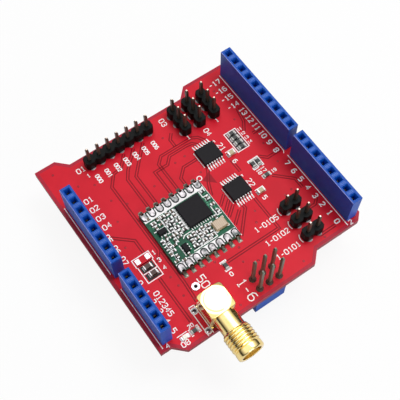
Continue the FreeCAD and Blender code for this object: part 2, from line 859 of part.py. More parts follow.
def logic_chip(label, x):
    body = new_body(f"{label}_chip")
    middle = sketch_on(body, f"{label}_middle", lift="logic_tall/2")
    rectangle(middle, "logic_wide", "logic_deep")
    pad(body, middle, "logic_tall/2", taper="-logic_draft")
    pad(body, middle, "logic_tall/2", down=True, taper="-logic_draft")
    place(body, x, "logic_y", "logic_lift")
    node(body, f"{label}_chip")

    leads = new_body(f"{label}_leads")
    half, span, level = "logic_wide/2", "lead_span/2", "logic_lift + logic_tall/2"
    parts = []
    for side in (-1, 1):
        profile = sketch_on(leads, f"{label}_lead_{side + 1}", "XZ_Plane",
                            lift="(lead_count - 1)*lead_pitch/2")
        knee = f"{half} + lead_shoulder"
        points = [
            (half, f"{level} - lead_thick/2"), (f"{knee} - lead_thick/2", f"{level} - lead_thick/2"),
            (f"{span} - lead_foot", "0"), (span, "0"), (span, "lead_thick"),
            (f"{span} - lead_foot + lead_thick/2", "lead_thick"),
            (knee, f"{level} + lead_thick/2"), (half, f"{level} + lead_thick/2"),
        ]
        outline(profile, [(f"{side}*({px})", pz) for px, pz in points])
        parts.append(pad(leads, profile, "lead_wide", middle=True))
    repeat(leads, parts, "Y_Axis", "lead_count", "lead_pitch")
    place(leads, x, "logic_y")
    node(leads, f"{label}_leads")


# Antenna connector

def antenna_body():
    """Block, neck and threaded barrel turned and milled from one piece, on four legs."""
    body = new_body("antenna_body")
    foot = sketch_on(body, "antenna_foot")
    cut_rectangle(foot, "antenna_block", "antenna_block", "antenna_corner")
    pad(body, foot, "antenna_tall")
    face = "antenna_block/2"
    shoulder = f"{face} + neck_long"
    end = f"{shoulder} + thread_long"
    barrel = sketch_on(body, "antenna_barrel", "XZ_Plane", rise="antenna_axis")
    outline(barrel, [
        ("0", "0"), (end, "0"),
        (end, "thread_wide/2 - thread_bevel"),
        (f"{end} - thread_bevel", "thread_wide/2"),
        (f"{shoulder} + thread_bevel", "thread_wide/2"),
        (shoulder, "neck_wide/2"),
        ("0", "neck_wide/2"),
    ])
    revolve(body, barrel)
    bore = sketch_on(body, "antenna_bore", "XZ_Plane", rise="antenna_axis")
    back = "-(riser_wide/2 + core_over)"
    outline(bore, [
        (back, "0"), (end, "0"), (end, "bore_wide/2"),
        (f"{end} - bore_deep", "bore_wide/2"),
        (f"{end} - bore_deep", "insulator_wide/2"),
        (back, "insulator_wide/2"),
    ])
    revolve(body, bore, "Groove")
    riser = sketch_on(body, "antenna_riser")
    rectangle(riser, "riser_wide", "riser_wide")
    pocket(body, riser, "antenna_axis", up=True)
    legs = sketch_on(body, "antenna_legs")
    for i in (-1, 1):
        for j in (-1, 1):
            rectangle(legs, "leg_side", "leg_side", f"{i}*leg_span/2", f"{j}*leg_span/2")
    pad(body, legs, "leg_long", down=True)
    place(body, "antenna_x", "antenna_y")
    node(body, "antenna_body")
    node(rod("antenna_cap", "antenna_cap_wide", "antenna_cap_tall", "antenna_x", "antenna_y",
             "antenna_tall"), "antenna_cap")


def antenna_core():
    """The insulator and the centre contact, each with a level run and a riser to the board."""
    back = "antenna_x - riser_wide/2 - core_over"
    front = f"{ANTENNA_TIP} - bore_deep"
    level_long = f"{front} - ({back})"
    level = rod("insulator_level", "insulator_wide", level_long, back, "antenna_y",
                "antenna_axis", along_x=True)
    riser = brick("insulator_riser", "riser_wide", "riser_wide", "antenna_axis",
                  "antenna_x", "antenna_y")
    solid = joined("insulator_solid", level, riser)

    start = "antenna_x - riser_pin/2 - core_over"
    contact_long = f"{front} - ({start})"
    long_run = rod("contact_level", "contact_wide", contact_long, start, "antenna_y",
                   "antenna_axis", along_x=True)
    pin = rod("contact_riser", "riser_pin", "antenna_axis + leg_long", "antenna_x", "antenna_y",
              "-leg_long")
    core = joined("contact_solid", long_run, pin)
    hole = rod("contact_hole", "contact_bore", "contact_bore_deep",
               f"{front} - contact_bore_deep", "antenna_y", "antenna_axis", along_x=True)
    contact = joined("antenna_contact", core, hole, "Cut")
    insulator = joined("antenna_insulator", solid, core, "Cut")
    node(insulator, "antenna_insulator")
    node(contact, "antenna_contact")


def ring(label, wide, hole, tall, x, y):
    """A flat plated ring on the board's top face, with an eight-sided rim."""
    body = new_body(label)
    rim = sketch_on(body, f"{label}_rim")
    cut_rectangle(rim, wide, wide, f"{wide}*0.29")
    circle(rim, hole)
    pad(body, rim, tall)
    place(body, x, y)
    return body


def open_rings():
    group("spare_hole_rings", [
        ring(f"spare_{side}", "spare_ring", "spare_hole", "spare_ring_tall",
             f"spare_{side}_x", "spare_y")
        for side in ("left", "right")
    ])
    node(ring("feed_pad", "feed_ring", "feed_hole", "feed_ring_tall", "feed_x", "feed_y"),
         "feed_pad")


# Checks and export

def check(pieces):
    """Stops if any object failed or any node is empty or invalid."""
    for item in DOC.Objects:
        if {"Invalid", "Error"} & set(item.State):
            raise RuntimeError(f"{item.Name} failed: {item.State}")
    for piece in pieces:
        if piece.Shape.isNull() or not piece.Shape.isValid() or not piece.Shape.Solids:
            raise RuntimeError(f"{piece.Label} has no valid solid")


def main():
    main_board()
    pass_through_sockets()
    under_socket()
    pin_headers()
    solder_joints()
    radio_board()
    radio_chips()
    small_parts()
    logic_chip("left_logic", "logic_left_x")
    logic_chip("right_logic", "logic_right_x")
    antenna_body()
    antenna_core()
    open_rings()
    DOC.recompute()
    check(NODES)
    os.makedirs("parts", exist_ok=True)
    for piece in NODES:
        piece.Shape.exportStep(f"parts/{piece.Label}.step")
        print(piece.Label, len(piece.Shape.Solids), round(piece.Shape.Volume, 3))


main()
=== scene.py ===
"""Visual model of a radio shield module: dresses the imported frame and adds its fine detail.

Places are written in millimetres on the board: X along the socket rows, Y across the board
and Z up from its top face. The function at() carries them into the frame, in metres.
"""
import logging
import math
from dataclasses import dataclass, field
from enum import Enum
from typing import Iterable, Sequence

import bmesh
import bpy
import numpy as np
from mathutils import Matrix, Vector


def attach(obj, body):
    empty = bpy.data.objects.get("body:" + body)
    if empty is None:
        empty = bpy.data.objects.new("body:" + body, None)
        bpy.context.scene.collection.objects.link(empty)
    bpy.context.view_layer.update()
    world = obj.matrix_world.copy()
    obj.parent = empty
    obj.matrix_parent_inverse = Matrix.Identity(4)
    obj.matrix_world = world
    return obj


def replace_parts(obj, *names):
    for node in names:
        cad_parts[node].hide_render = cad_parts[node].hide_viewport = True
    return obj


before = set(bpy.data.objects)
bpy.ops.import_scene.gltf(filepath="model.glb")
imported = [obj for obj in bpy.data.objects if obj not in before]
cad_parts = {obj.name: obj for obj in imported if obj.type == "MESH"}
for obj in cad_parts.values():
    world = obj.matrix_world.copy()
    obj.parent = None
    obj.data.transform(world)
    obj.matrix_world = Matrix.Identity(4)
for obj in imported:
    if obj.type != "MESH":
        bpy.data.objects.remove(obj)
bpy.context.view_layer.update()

LOG = logging.getLogger("radio_shield")
MM = 0.001
ORIGIN = np.array([46.22, 26.67, -11.0])
PITCH = 2.54
BOARD_DEEP = 53.34
BOARD_THICK = 1.6
RADIO_TOP = 0.9
SUNK = -0.02  # a thin piece starts this far below the face that it lies on

Triple = tuple[float, float, float]
Colour = Triple
Path = Sequence[Sequence[float]]
Row = tuple[float, float, bool, int]
Socket = bpy.types.NodeSocket


def at(points: np.ndarray) -> np.ndarray:
    """Carries board millimetres into the frame: the origin is taken off, then it is scaled.

    Args:
        points: an array whose last axis is x, y, z in millimetres.

    Returns:
        The same places in metres in the frame.
    """
    return (np.asarray(points, float) - ORIGIN) * MM


def places(text: str, cut: str = "\n") -> list[np.ndarray]:
    """Reads a table of paths: one path to a line, its places apart and their numbers joined.

    Args:
        text: the table, such as "1,2 3,4" for a path of two places.
        cut: the sign between two paths.

    Returns:
        One array for each path, with a row for each place.
    """
    return [np.array([spot.split(",") for spot in line.split()], float)
            for line in text.strip().split(cut)]


def beside(x: float, y: float, upright: bool, step: float) -> tuple[float, float]:
    """The place a step away, along Y for what runs upright and else along X."""
    return (x, y + step) if upright else (x + step, y)


def linear(colour: Colour) -> tuple[float, ...]:
    """Turns a screen colour of 0 to 255 into the linear colour that a shader takes.

    The formula is the usual screen curve: c/12.92 below 0.04, else ((c + 0.055)/1.055)^2.4.

    Args:
        colour: red, green and blue from 0 to 255.

    Returns:
        Red, green, blue and an alpha of one.
    """
    c = np.asarray(colour, float) / 255.0
    flat = np.where(c <= 0.04045, c / 12.92, ((c + 0.055) / 1.055) ** 2.4)
    return (*flat.tolist(), 1.0)


# Finishes


class Nodes:
    """A node tree with one short call that adds a node, sets it up and links it."""

    def __init__(self, tree: bpy.types.NodeTree, clear: bool = False) -> None:
        """Keeps the tree, emptied first where asked."""
        self.tree = tree
        if clear:
            tree.nodes.clear()

    def fill(self, node: bpy.types.Node, inputs: dict[str | int, object]) -> None:
        """Links each input that is given a socket and sets the others' own values.

        Args:
            node: the node.
            inputs: a socket, number or colour for each input's name or index.
        """
        for label, value in inputs.items():
            if isinstance(value, Socket):
                self.tree.links.new(value, node.inputs[label])
            else:
                node.inputs[label].default_value = value

    def add(self, kind: str, out: str, inputs: dict[str | int, object] | None = None,
            **traits: str) -> Socket:
        """Adds a node and gives one of its outputs.

        Args:
            kind: the node's type without the words ShaderNode.
            out: the output's name.
            inputs: what its inputs are set or linked to.
            traits: the node's own settings, such as its operation.

        Returns:
            The output socket.
        """
        node = self.tree.nodes.new("ShaderNode" + kind)
        for trait, value in traits.items():
            setattr(node, trait, value)
        self.fill(node, inputs or {})
        return node.outputs[out]

    def end(self, kind: str, surface: Socket) -> None:
        """Adds the tree's output node and links its surface."""
        self.fill(self.tree.nodes.new("ShaderNode" + kind), {"Surface": surface})

    def colours(self, share: Socket, first: object, second: object) -> Socket:
        """Mixes two colours by a share."""
        return self.add("Mix", "Result", {"Factor": share, "A": first, "B": second},
                        data_type="RGBA")

    def shaders(self, share: Socket, first: Socket, second: Socket) -> Socket:
        """Mixes two shaders by a share."""
        return self.add("MixShader", "Shader", {"Fac": share, 1: first, 2: second})


class Grain(Enum):
    """How a finish breaks up its colour."""

    CLOUD = "soft clouds of a second tone"
    CELLS = "whole cells that each take one of two tones"
    HATCH = "fine parallel lines of a second tone"


@dataclass(frozen=True)
class Finish:
    """One surface finish: two tones, how they mix, gloss and grain."""

    name: str
    tone: Colour
    second: Colour
    rough: float = 0.4
    metal: float = 0.0
    scale: float = 900.0
    amount: float = 0.5
    bump: float = 0.05
    bump_scale: float = 3000.0
    bump_deep: float = 0.00005
    rough_swing: float = 0.08
    specular: float = 0.5
    coat: float = 0.0
    grain: Grain = Grain.CLOUD

    def pattern(self, nodes: Nodes, place: Socket) -> Socket:
        """The node whose value mixes the two tones.

        Args:
            nodes: the material's nodes.
            place: the socket with the object coordinates.

        Returns:
            A value socket from 0 to 1.
        """
        spots = {"Vector": place, "Scale": self.scale}
        if self.grain is Grain.HATCH:
            return nodes.add("TexWave", "Fac", {**spots, "Distortion": 1.5, "Detail": 1.0})
        if self.grain is Grain.CELLS:
            cells = nodes.add("TexVoronoi", "Color", spots)
            return nodes.add("SeparateColor", "Red", {"Color": cells})
        return nodes.add("TexNoise", "Fac", {**spots, "Detail": 4.0})

    def base_colour(self, nodes: Nodes, place: Socket) -> Socket:
        """Mixes the two tones by the pattern; clouds use the middle of its range.

        Args:
            nodes, place: as for the pattern.

        Returns:
            A colour socket.
        """
        low = 0.35 if self.grain is Grain.CLOUD else 0.0
        share = nodes.add("MapRange", "Result", {
            "Value": self.pattern(nodes, place), "From Min": low, "From Max": 1.0 - low,
            "To Max": self.amount})
        return nodes.colours(share, linear(self.tone), linear(self.second))

    def material(self) -> bpy.types.Material:
        """Builds the material once and gives it again on later calls."""
        known = bpy.data.materials.get(self.name)
        if known:
            return known
        made = bpy.data.materials.new(self.name)
        made.use_nodes = True
        nodes = Nodes(made.node_tree)
        place = nodes.add("TexCoord", "Object")
        fine = nodes.add("TexNoise", "Fac",
                         {"Vector": place, "Scale": self.bump_scale, "Detail": 3.0})
        gloss = nodes.add("MapRange", "Result", {
            "Value": fine, "To Min": max(0.03, self.rough - self.rough_swing),
            "To Max": min(1.0, self.rough + self.rough_swing)})
        relief = nodes.add("Bump", "Normal", {
            "Strength": self.bump, "Distance": self.bump_deep, "Height": fine})
        nodes.fill(made.node_tree.nodes["Principled BSDF"], {
            "Base Color": self.base_colour(nodes, place), "Roughness": gloss,
            "Normal": relief, "Metallic": self.metal, "Specular IOR Level": self.specular,
            "Coat Weight": self.coat, "Coat Roughness": 0.12})
        return made


@dataclass(frozen=True)
class BoardFinish(Finish):
    """Solder mask on the faces and cut laminate on the walls of a circuit board."""

    wall: Colour = (150, 40, 60)
    wall_second: Colour = (110, 40, 45)

    def base_colour(self, nodes: Nodes, place: Socket) -> Socket:
        """Mixes mask and laminate by how level the surface lies: the size of its normal's Z.

        Args:
            nodes, place: as for the pattern.

        Returns:
            A colour socket.
        """
        wall = Finish("wall", self.wall, self.wall_second, scale=2500.0, amount=0.8)
        normal = nodes.add("NewGeometry", "True Normal")
        up = nodes.add("SeparateXYZ", "Z", {"Vector": normal})
        level = nodes.add("Math", "Value", {0: up}, operation="ABSOLUTE")
        return nodes.colours(level, wall.base_colour(nodes, place),
                             super().base_colour(nodes, place))


@dataclass(frozen=True)
class ContactShadeFinish(Finish):
    """Plating darkened inside a housing as painted shade, and brighter plain plating on the tails
    below the board.
    """

    tail: Colour = (206, 190, 150)
    tail_second: Colour = (168, 150, 112)

    def base_colour(self, nodes: Nodes, place: Socket) -> Socket:
        """Mixes the painted shade and the tail plating by height: the change takes half a
        millimetre below the board.

        Args:
            nodes, place: as for the pattern.

        Returns:
            A colour socket.
        """
        tail = Finish("tail", self.tail, self.tail_second, scale=1200.0)
        height = nodes.add("SeparateXYZ", "Z", {"Vector": place})
        under = float(at(np.array([0.0, 0.0, -BOARD_THICK]))[2])
        share = nodes.add("MapRange", "Result", {
            "Value": height, "From Min": under - 0.5 * MM, "From Max": under})
        return nodes.colours(share, tail.base_colour(nodes, place),
                             super().base_colour(nodes, place))


MASK = BoardFinish("red_solder_mask", (216, 29, 48), (202, 23, 42), rough=0.36, scale=160.0,
    amount=0.7, bump=0.04, specular=0.1)
GAP = Finish("bare_gap_under_mask", (136, 10, 28), (116, 8, 24), specular=0.1)
PATCH = Finish("bare_patch_under_mask", (160, 22, 38), (146, 20, 34), scale=600.0, specular=0.1)
EDGE = Finish("board_rim_mask", (176, 30, 54), (160, 26, 48), scale=700.0, specular=0.15)
TENT = Finish("tented_hole_mask", (168, 19, 38), (134, 13, 28), rough=0.3, scale=1500.0,
    specular=0.2)
INK = Finish("white_marking_ink", (255, 252, 252), (248, 244, 246), rough=0.55, scale=2500.0,
    bump=0.08)
BLUE = Finish("blue_moulded_plastic", (6, 78, 176), (4, 68, 160), rough=0.42, scale=500.0,
    bump=0.08, bump_scale=5000.0, specular=0.2)
# the paler blue on the ribs between mouths is a painted highlight; the plastic is one blue
BLUE_RIB_HIGHLIGHT = Finish("blue_rib_painted_highlight", (52, 110, 200), (42, 98, 186))
# the pale line along each socket's near top edge is a painted highlight
BLUE_EDGE_HIGHLIGHT = Finish("blue_edge_painted_highlight", (124, 132, 206), (104, 116, 196))
BLACK = Finish("black_moulded_plastic", (15, 17, 17), (8, 9, 10), rough=0.42, scale=700.0,
    bump=0.1, bump_scale=5000.0, specular=0.07)
# the header pins' dark brown tone is painted shade; the plated metal itself is brighter
PIN = Finish("plated_pin_painted_shade", (88, 76, 64), (60, 50, 42), rough=0.34, metal=0.3)
LONG_PIN = Finish("plated_long_pin", (98, 108, 92), (68, 78, 66), rough=0.36, metal=0.1)
# the pin tips' bright tone is a painted highlight
PIN_TIP_HIGHLIGHT = Finish("pin_tip_painted_highlight", (216, 204, 192), (180, 166, 150), rough=0.35, metal=0.4,
    scale=1500.0)
# the socket contacts' dark tone is painted shade inside the mouths; the tails below the board keep
# plain plating
FORK_SHADE = ContactShadeFinish("fork_contact_painted_shade", (96, 82, 54), (64, 54, 34), rough=0.32, metal=0.9,
    scale=1200.0)
TIN = Finish("bright_solder", (196, 194, 200), (140, 140, 146), rough=0.32, metal=0.8,
    scale=1600.0, bump=0.3, bump_scale=2600.0, rough_swing=0.12)
DULL_TIN = Finish("dull_solder", (56, 74, 64), (32, 44, 38), rough=0.32, metal=0.1, scale=1400.0,
    bump=0.3, bump_scale=2600.0, specular=0.7)
EDGE_TIN = Finish("edge_hole_solder", (124, 126, 114), (56, 58, 50), rough=0.36, metal=0.6,
    scale=1500.0, amount=1.0, bump=0.6, bump_scale=2200.0)
PAD = Finish("tinned_pad", (208, 200, 204), (70, 78, 76), rough=0.42, metal=0.35, scale=1050.0,
    amount=1.0, bump=0.6, bump_scale=1800.0)
LEAD_PAD = Finish("tinned_lead_pad", (186, 176, 178), (120, 108, 110), metal=0.5, scale=1800.0,
    bump=0.3)
EPOXY = Finish("moulded_chip_epoxy", (22, 20, 24), (15, 13, 17), rough=0.5, scale=1400.0,
    bump=0.12, bump_scale=9000.0, specular=0.1)
GREEN = BoardFinish("green_solder_mask", (8, 96, 66), (4, 70, 48), rough=0.3, amount=1.0, bump=0.1,
    specular=0.15, wall=(38, 84, 56), wall_second=(92, 104, 66))
GREEN_LINE = Finish("green_track_under_mask", (70, 160, 124), (40, 124, 88), rough=0.3,
    specular=0.3)
# one dark finish: the real gaps round pads and holes, the dark fields under the radio parts, and
# painted shade under main-board parts and at the feed hole
DARK_GAP_AND_SHADE = Finish("dark_pad_gap_and_painted_shade", (10, 18, 18), (6, 14, 14), specular=0.2)
SPECK = Finish("small_ceramic_body", (24, 24, 26), (126, 108, 92), scale=640.0, amount=0.8,
    specular=0.3, grain=Grain.CELLS)
PART_END = Finish("small_part_end", (222, 222, 222), (160, 162, 162), metal=0.3, scale=1500.0,
    bump=0.4)
RESISTOR = Finish("resistor_glaze", (22, 22, 24), (36, 36, 38), rough=0.25, scale=1500.0,
    specular=0.3)
RESISTOR_END = Finish("resistor_end", (158, 158, 152), (96, 98, 94), metal=0.4, scale=1500.0,
    bump=0.4)
CERAMIC = Finish("capacitor_ceramic", (186, 172, 136), (160, 148, 112), rough=0.45, scale=1800.0)
BROWN_CERAMIC = Finish("brown_capacitor_ceramic", (72, 48, 42), (48, 32, 30), scale=1800.0,
    specular=0.3)
CRYSTAL = Finish("crystal_lid_metal", (190, 172, 150), (140, 122, 106), metal=0.2, scale=1100.0,
    amount=0.9, specular=0.3, grain=Grain.HATCH)
CRYSTAL_BASE = Finish("crystal_ceramic_base", (180, 160, 120), (150, 128, 96), rough=0.5,
    scale=1600.0)
LAMP = Finish("lamp_lens", (240, 238, 226), (220, 214, 190), rough=0.12, coat=0.6)
GOLD = Finish("polished_gold_plate", (248, 223, 154), (237, 207, 131), rough=0.15, metal=1.0,
    scale=500.0, bump=0.03, rough_swing=0.04)
RESIN = Finish("white_insulator", (240, 238, 230), (226, 222, 210), rough=0.5, scale=1200.0)


# Mesh making


def corner_normals(path: np.ndarray, closed: bool) -> np.ndarray:
    """The sideways vector at each point of a flat path, long enough to keep the width.

    Each run's normal is its direction turned a quarter. At a point the two normals n and m
    give (n + m) / (1 + n.m), which is the mitre, and its length is held under 1.8.

    Args:
        path: rows of x and y.
        closed: whether the last point joins the first.

    Returns:
        One vector for each point.
    """
    after = np.roll(path, -1, axis=0) - path
    if not closed:
        after[-1] = after[-2]
    after /= np.maximum(np.linalg.norm(after, axis=1, keepdims=True), 1e-9)
    before = np.roll(after, 1, axis=0)
    if not closed:
        before[0] = after[0]
    turn = np.array([[0.0, 1.0], [-1.0, 0.0]])
    n, m = before @ turn, after @ turn
    mitre = (n + m) / np.maximum(1.0 + (n * m).sum(1, keepdims=True), 0.2)
    length = np.linalg.norm(mitre, axis=1, keepdims=True)
    return mitre * np.minimum(1.0, 1.8 / np.maximum(length, 1e-9))


class Shell:
    """Collects closed surfaces in board millimetres and makes one mesh object of them.

    The heights low and high of its flat shapes are counted from its level.
    """

    def __init__(self, level: float = 0.0) -> None:
        """Starts with no points."""
        self.level = level
        self.points: list[np.ndarray] = []
        self.faces: list[list[int]] = []
        self.total = 0

    def sheet(self, grid: np.ndarray, ends: bool = True) -> None:
        """Adds a tube from a grid of rings: u runs along it and v round it.

        Args:
            grid: an array of rings by points by 3; each ring closes on itself.
            ends: whether the first and last rings are closed with a face.
        """
        rings, around = grid.shape[:2]
        u, v = np.meshgrid(np.arange(rings - 1), np.arange(around), indexing="ij")
        w = (v + 1) % around
        quads = np.stack([u * around + v, u * around + w, (u + 1) * around + w,
                          (u + 1) * around + v], axis=-1).reshape(-1, 4)
        caps = np.arange(around)
        faces = quads.tolist()
        if ends:
            faces += [caps[::-1].tolist(), (caps + (rings - 1) * around).tolist()]
        self.faces += [[self.total + i for i in face] for face in faces]
        self.points.append(grid.reshape(-1, 3))
        self.total += rings * around

    def prism(self, outline: Path, low: float, high: float) -> None:
        """Adds a flat anticlockwise outline raised from low to high."""
        flat = np.asarray(outline, float)
        self.sheet(np.stack([np.c_[flat, np.full(len(flat), self.level + z)]
                             for z in (low, high)]))

    def block(self, x: float, y: float, wide: float, deep: float, low: float,
              high: float) -> None:
        """Adds a rectangular plate about a place."""
        a, b = wide / 2, deep / 2
        self.prism([(x - a, y - b), (x + a, y - b), (x + a, y + b), (x - a, y + b)], low, high)

    def part(self, x: float, y: float, upright: bool, wide: float, deep: float, low: float,
             high: float, steps: Sequence[float] = (0.0,)) -> None:
        """Adds plates beside a place: the first size lies across the part's own direction.

        Args:
            x, y: the part's place.
            upright: whether the part lies along Y.
            wide, deep: sizes across and along the part.
            low, high: heights of the plates' faces.
            steps: how far along the part each plate stands from its place.
        """
        size = (wide, deep) if upright else (deep, wide)
        for step in steps:
            self.block(*beside(x, y, upright, step), *size, low, high)

    def ribbon(self, path: Path, wide: float, low: float, high: float,
               closed: bool = False) -> None:
        """Adds a flat strip along a path: the path moved both ways by half the width.

        Args:
            path: rows of x and y.
            wide: the strip's width.
            low, high: heights of its faces.
            closed: whether it runs back to its start.
        """
        line = np.asarray(path, float)
        side = corner_normals(line, closed) * wide / 2
        left, right = line - side, line + side
        ring = np.stack([np.c_[edge, np.full(len(line), self.level + z)] for edge, z in (
            (left, low), (right, low), (right, high), (left, high))], axis=1)
        if closed:
            ring = np.concatenate([ring, ring[:1]])
        self.sheet(ring, ends=not closed)

    def lathe(self, profile: Path, x: float, y: float, sides: int = 24,
              flip: bool = False) -> None:
        """Adds a turned shape about an upright line: each radius and height goes once round.

        Args:
            profile: radius and height pairs from below to above.
            x, y: place of the line.
            sides: how many points go round.
            flip: whether the shape hangs down from the level instead of standing on it.
        """
        r, h = np.asarray(profile, float).T[:, :, None]
        angle = np.arange(sides) * 2 * math.pi / sides
        z = self.level + (-h if flip else h) + 0 * angle
        self.sheet(np.stack([x + r * np.cos(angle), y + r * np.sin(angle), z], axis=-1))

    def ring(self, x: float, y: float, inner: float, outer: float, low: float,
             high: float, sides: int = 24) -> None:
        """Adds a flat washer about a place.

        Args:
            x, y: its middle.
            inner, outer: its radii.
            low, high: heights of its faces.
            sides: how many points go round.
        """
        angle = np.arange(sides) * 2 * math.pi / sides
        middle = (inner + outer) / 2
        line = np.c_[x + middle * np.cos(angle), y + middle * np.sin(angle)]
        self.ribbon(line, outer - inner, low, high, closed=True)

    def build(self, name: str, finish: Finish, slot: str, smooth: float = 0.0,
              bevel: float = 0.0) -> bpy.types.Object:
        """Makes the object, rides it on the root body and dresses it.

        Args:
            name: the piece's name.
            finish: its finish.
            slot: the record's material slot; not used.
            smooth: edges flatter than this many degrees are shaded round.
            bevel: width of rounded edges in millimetres.

        Returns:
            The finished object.
        """
        mesh = bpy.data.meshes.new(name)
        mesh.from_pydata(at(np.concatenate(self.points)).tolist(), [], self.faces)
        work = bmesh.new()
        work.from_mesh(mesh)
        bmesh.ops.remove_doubles(work, verts=work.verts, dist=1e-8)
        bmesh.ops.recalc_face_normals(work, faces=work.faces)
        work.to_mesh(mesh)
        work.free()
        return finish_piece(name, mesh, finish, smooth, bevel)


def finish_piece(name: str, mesh: bpy.types.Mesh, finish: Finish,
                 smooth: float, bevel: float) -> bpy.types.Object:
    """Puts a mesh into the scene as a dressed piece on the root body.

    Args:
        mesh: its mesh, in the frame's metres; the others are those of Shell.build.

    Returns:
        The finished object.
    """
    if smooth:
        mesh.polygons.foreach_set("use_smooth", [True] * len(mesh.polygons))
        mesh.set_sharp_from_angle(angle=math.radians(smooth))
    mesh.materials.clear()
    mesh.materials.append(finish.material())
    thing = bpy.data.objects.new(name, mesh)
    bpy.context.scene.collection.objects.link(thing)
    if bevel:
        edge = thing.modifiers.new("rounded_edges", "BEVEL")
        edge.width = bevel * MM
        edge.segments = 2
        edge.limit_method = "ANGLE"
        edge.angle_limit = math.radians(40)
    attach(thing, "root")
    LOG.info("%s: %d faces", name, len(mesh.polygons))
    return thing


def softened(node: str, name: str, finish: Finish, bevel: float) -> None:
    """Puts a merged copy of a CAD node with rounded edges in that node's place.

    Args:
        node: the CAD node; the others are those of Shell.build.
    """
    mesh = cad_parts[node].data.copy()
    work = bmesh.new()
    work.from_mesh(mesh)
    bmesh.ops.remove_doubles(work, verts=work.verts, dist=1e-7)
    bmesh.ops.dissolve_limit(work, angle_limit=math.radians(1.0), verts=work.verts,
                             edges=work.edges)
    work.to_mesh(mesh)
    work.free()
    thing = finish_piece(name, mesh, finish, 30.0, bevel)
    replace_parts(thing, node)


def dress(node: str, finish: Finish) -> None:
    """Gives a CAD node a finish through its object's own slot, so its mesh is left alone.

    Args:
        node: the CAD node.
        finish: its finish.
    """
    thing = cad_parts[node]
    if not thing.material_slots:
        thing.data.materials.append(None)
    for place in thing.material_slots:
        place.link = "OBJECT"
        place.material = finish.material()


# Plain numbers in strokes, on a field four wide and six tall

SIGN_STEP = 5.6
STROKES = {
    "0": "1,0 3,0 4,1 4,5 3,6 1,6 0,5 0,1 1,0",
    "1": "0.9,4.9 2.1,6 2.1,0/0.9,0 3.3,0",
    "2": "0,5 1,6 3,6 4,5 4,4 0,0 4,0",
    "3": "0,5 1,6 3,6 4,5 4,4 3,3 1.6,3/3,3 4,2 4,1 3,0 1,0 0,1",
    "4": "3,0 3,6 0,2 4,2",
    "5": "4,6 0,6 0,3.5 3,3.5 4,2.5 4,1 3,0 0,0",
    "6": "3.6,6 1.4,6 0,4.6 0,1 1,0 3,0 4,1 4,2.5 3,3.5 0,3.5",
    "7": "0,6 4,6 4,5 1.6,0",
    "8": "1,3 0,4 0,5 1,6 3,6 4,5 4,4 3,3 1,3/1,3 0,2 0,1 1,0 3,0 4,1 4,2 3,3",
    "9": "0.4,0 2.6,0 4,1.4 4,5 3,6 1,6 0,5 0,3.5 1,2.5 4,2.5",
    "-": "0.6,3 3.4,3",
}


@dataclass(frozen=True)
class Mark:
    """A plain number printed on a board: what it says, its middle, height, turn and weight."""

    text: str
    x: float
    y: float
    tall: float = 1.15
    turn: float = 0.0
    weight: float = 0.2

    def draw(self, shell: Shell, low: float, high: float, mirror: bool = False) -> None:
        """Adds each stroke as a ribbon, turned about the mark's middle.

        A stroke's points are scaled by a sixth of the height, moved to their place in the
        word, turned and moved to the middle. A mark on the underside is mirrored in x.

        Args:
            shell: where the ribbons go.
            low, high: heights of their faces.
            mirror: whether the mark is read from below.
        """
        unit = self.tall / 6
        start = -((len(self.text) - 1) * SIGN_STEP + 4) / 2
        cosine, sine = math.cos(math.radians(self.turn)), math.sin(math.radians(self.turn))
        spin = np.array([[cosine, sine], [-sine, cosine]])
        for i, sign in enumerate(self.text):
            for stroke in places(STROKES[sign], "/"):
                flat = (stroke + [start + i * SIGN_STEP, -3.0]) * unit @ spin
                if mirror:
                    flat[:, 0] *= -1
                shell.ribbon(flat + [self.x, self.y], self.weight, low, high)


# Main board: tables of places, each path on a line; a mark's line is its text, middle, height,
# turn and weight, and a chip part's place ends with 1 where it lies along Y

BOARD_EDGE = """
15.24,0 66.04,0 66.04,2.54 68.58,5.08 68.58,37.846 66.04,40.386 66.04,51.816 64.516,53.34
15.24,53.34 15.24,40.386 17.78,37.846 17.78,7.62 15.24,5.08
"""
TRACKS = """
30.3,36.2 28.6,35.2 27.9,33.8 27.9,25.6 29.4,24 37.4,24
30.3,34.2 29.2,33.2 29,32 29,27.2 30.6,25.6 30.6,22.2 37.4,22.2
33.2,32 33.2,28.2 35.2,26.1 37.4,26.1
22.6,24.2 26.6,20.4 29,18.2 37.4,18.2
22.6,21.6 26.6,17.6 28.6,16.2 37.4,16.2
22.6,19 25.3,16.6 25.6,14.4 28.2,12.3 46.8,12.3 49.2,10.6
24.2,30.9 25.6,29.7 27.7,29.7
38.4,5.4 42,9.4 45.5,9.4
52.2,8.9 63.9,8.9
47.4,12.7 56,12.7 61,12.4
48.6,36.6 57.5,36.6 57.5,22.8
48.4,33.5 49.4,33.5 54.4,28.8
42.1,48.6 42.1,45.2 40.6,43.6
46.3,43.2 49.9,46.9 52.6,46.9
27.6,47.2 31.2,46.4 33.4,44.9
35,48.9 35,46.2
44,31.6 45.9,29.3
45.6,31.8 47.8,29.3
47.2,31.8 49.2,29.3
49,32.2 51.4,29.3
37.8,38 41.4,38
36.4,32.6 39.8,30.4 42.6,29.2
61.4,40.4 64,43 64,47
57.5,43.4 57.5,46.6 56,48.2
"""
TENTED_HOLES = """
18,3.1 23.7,6.3 36.1,8.8 25.5,9.5 51.3,13 53.4,11 55.9,11.3 58.4,10.9 60.2,12.4 33.6,12.9
24.2,28.6 31.2,27.3 36.5,30.6 57.5,36.6 51.2,34.8 53.6,33.4 66.7,36.2 25.4,36.8 29.6,45 59.4,25.6
61,28.4 56.2,26.8 66.9,19.4 18.2,49.4 20.6,45.6 38.6,46.6 52,42.6 51.6,44.6 64.9,43.4 31,30
44.2,46.4 55.6,18.4 56,20.6 33.4,20.2 42.2,6.8 30.9,10.4
"""
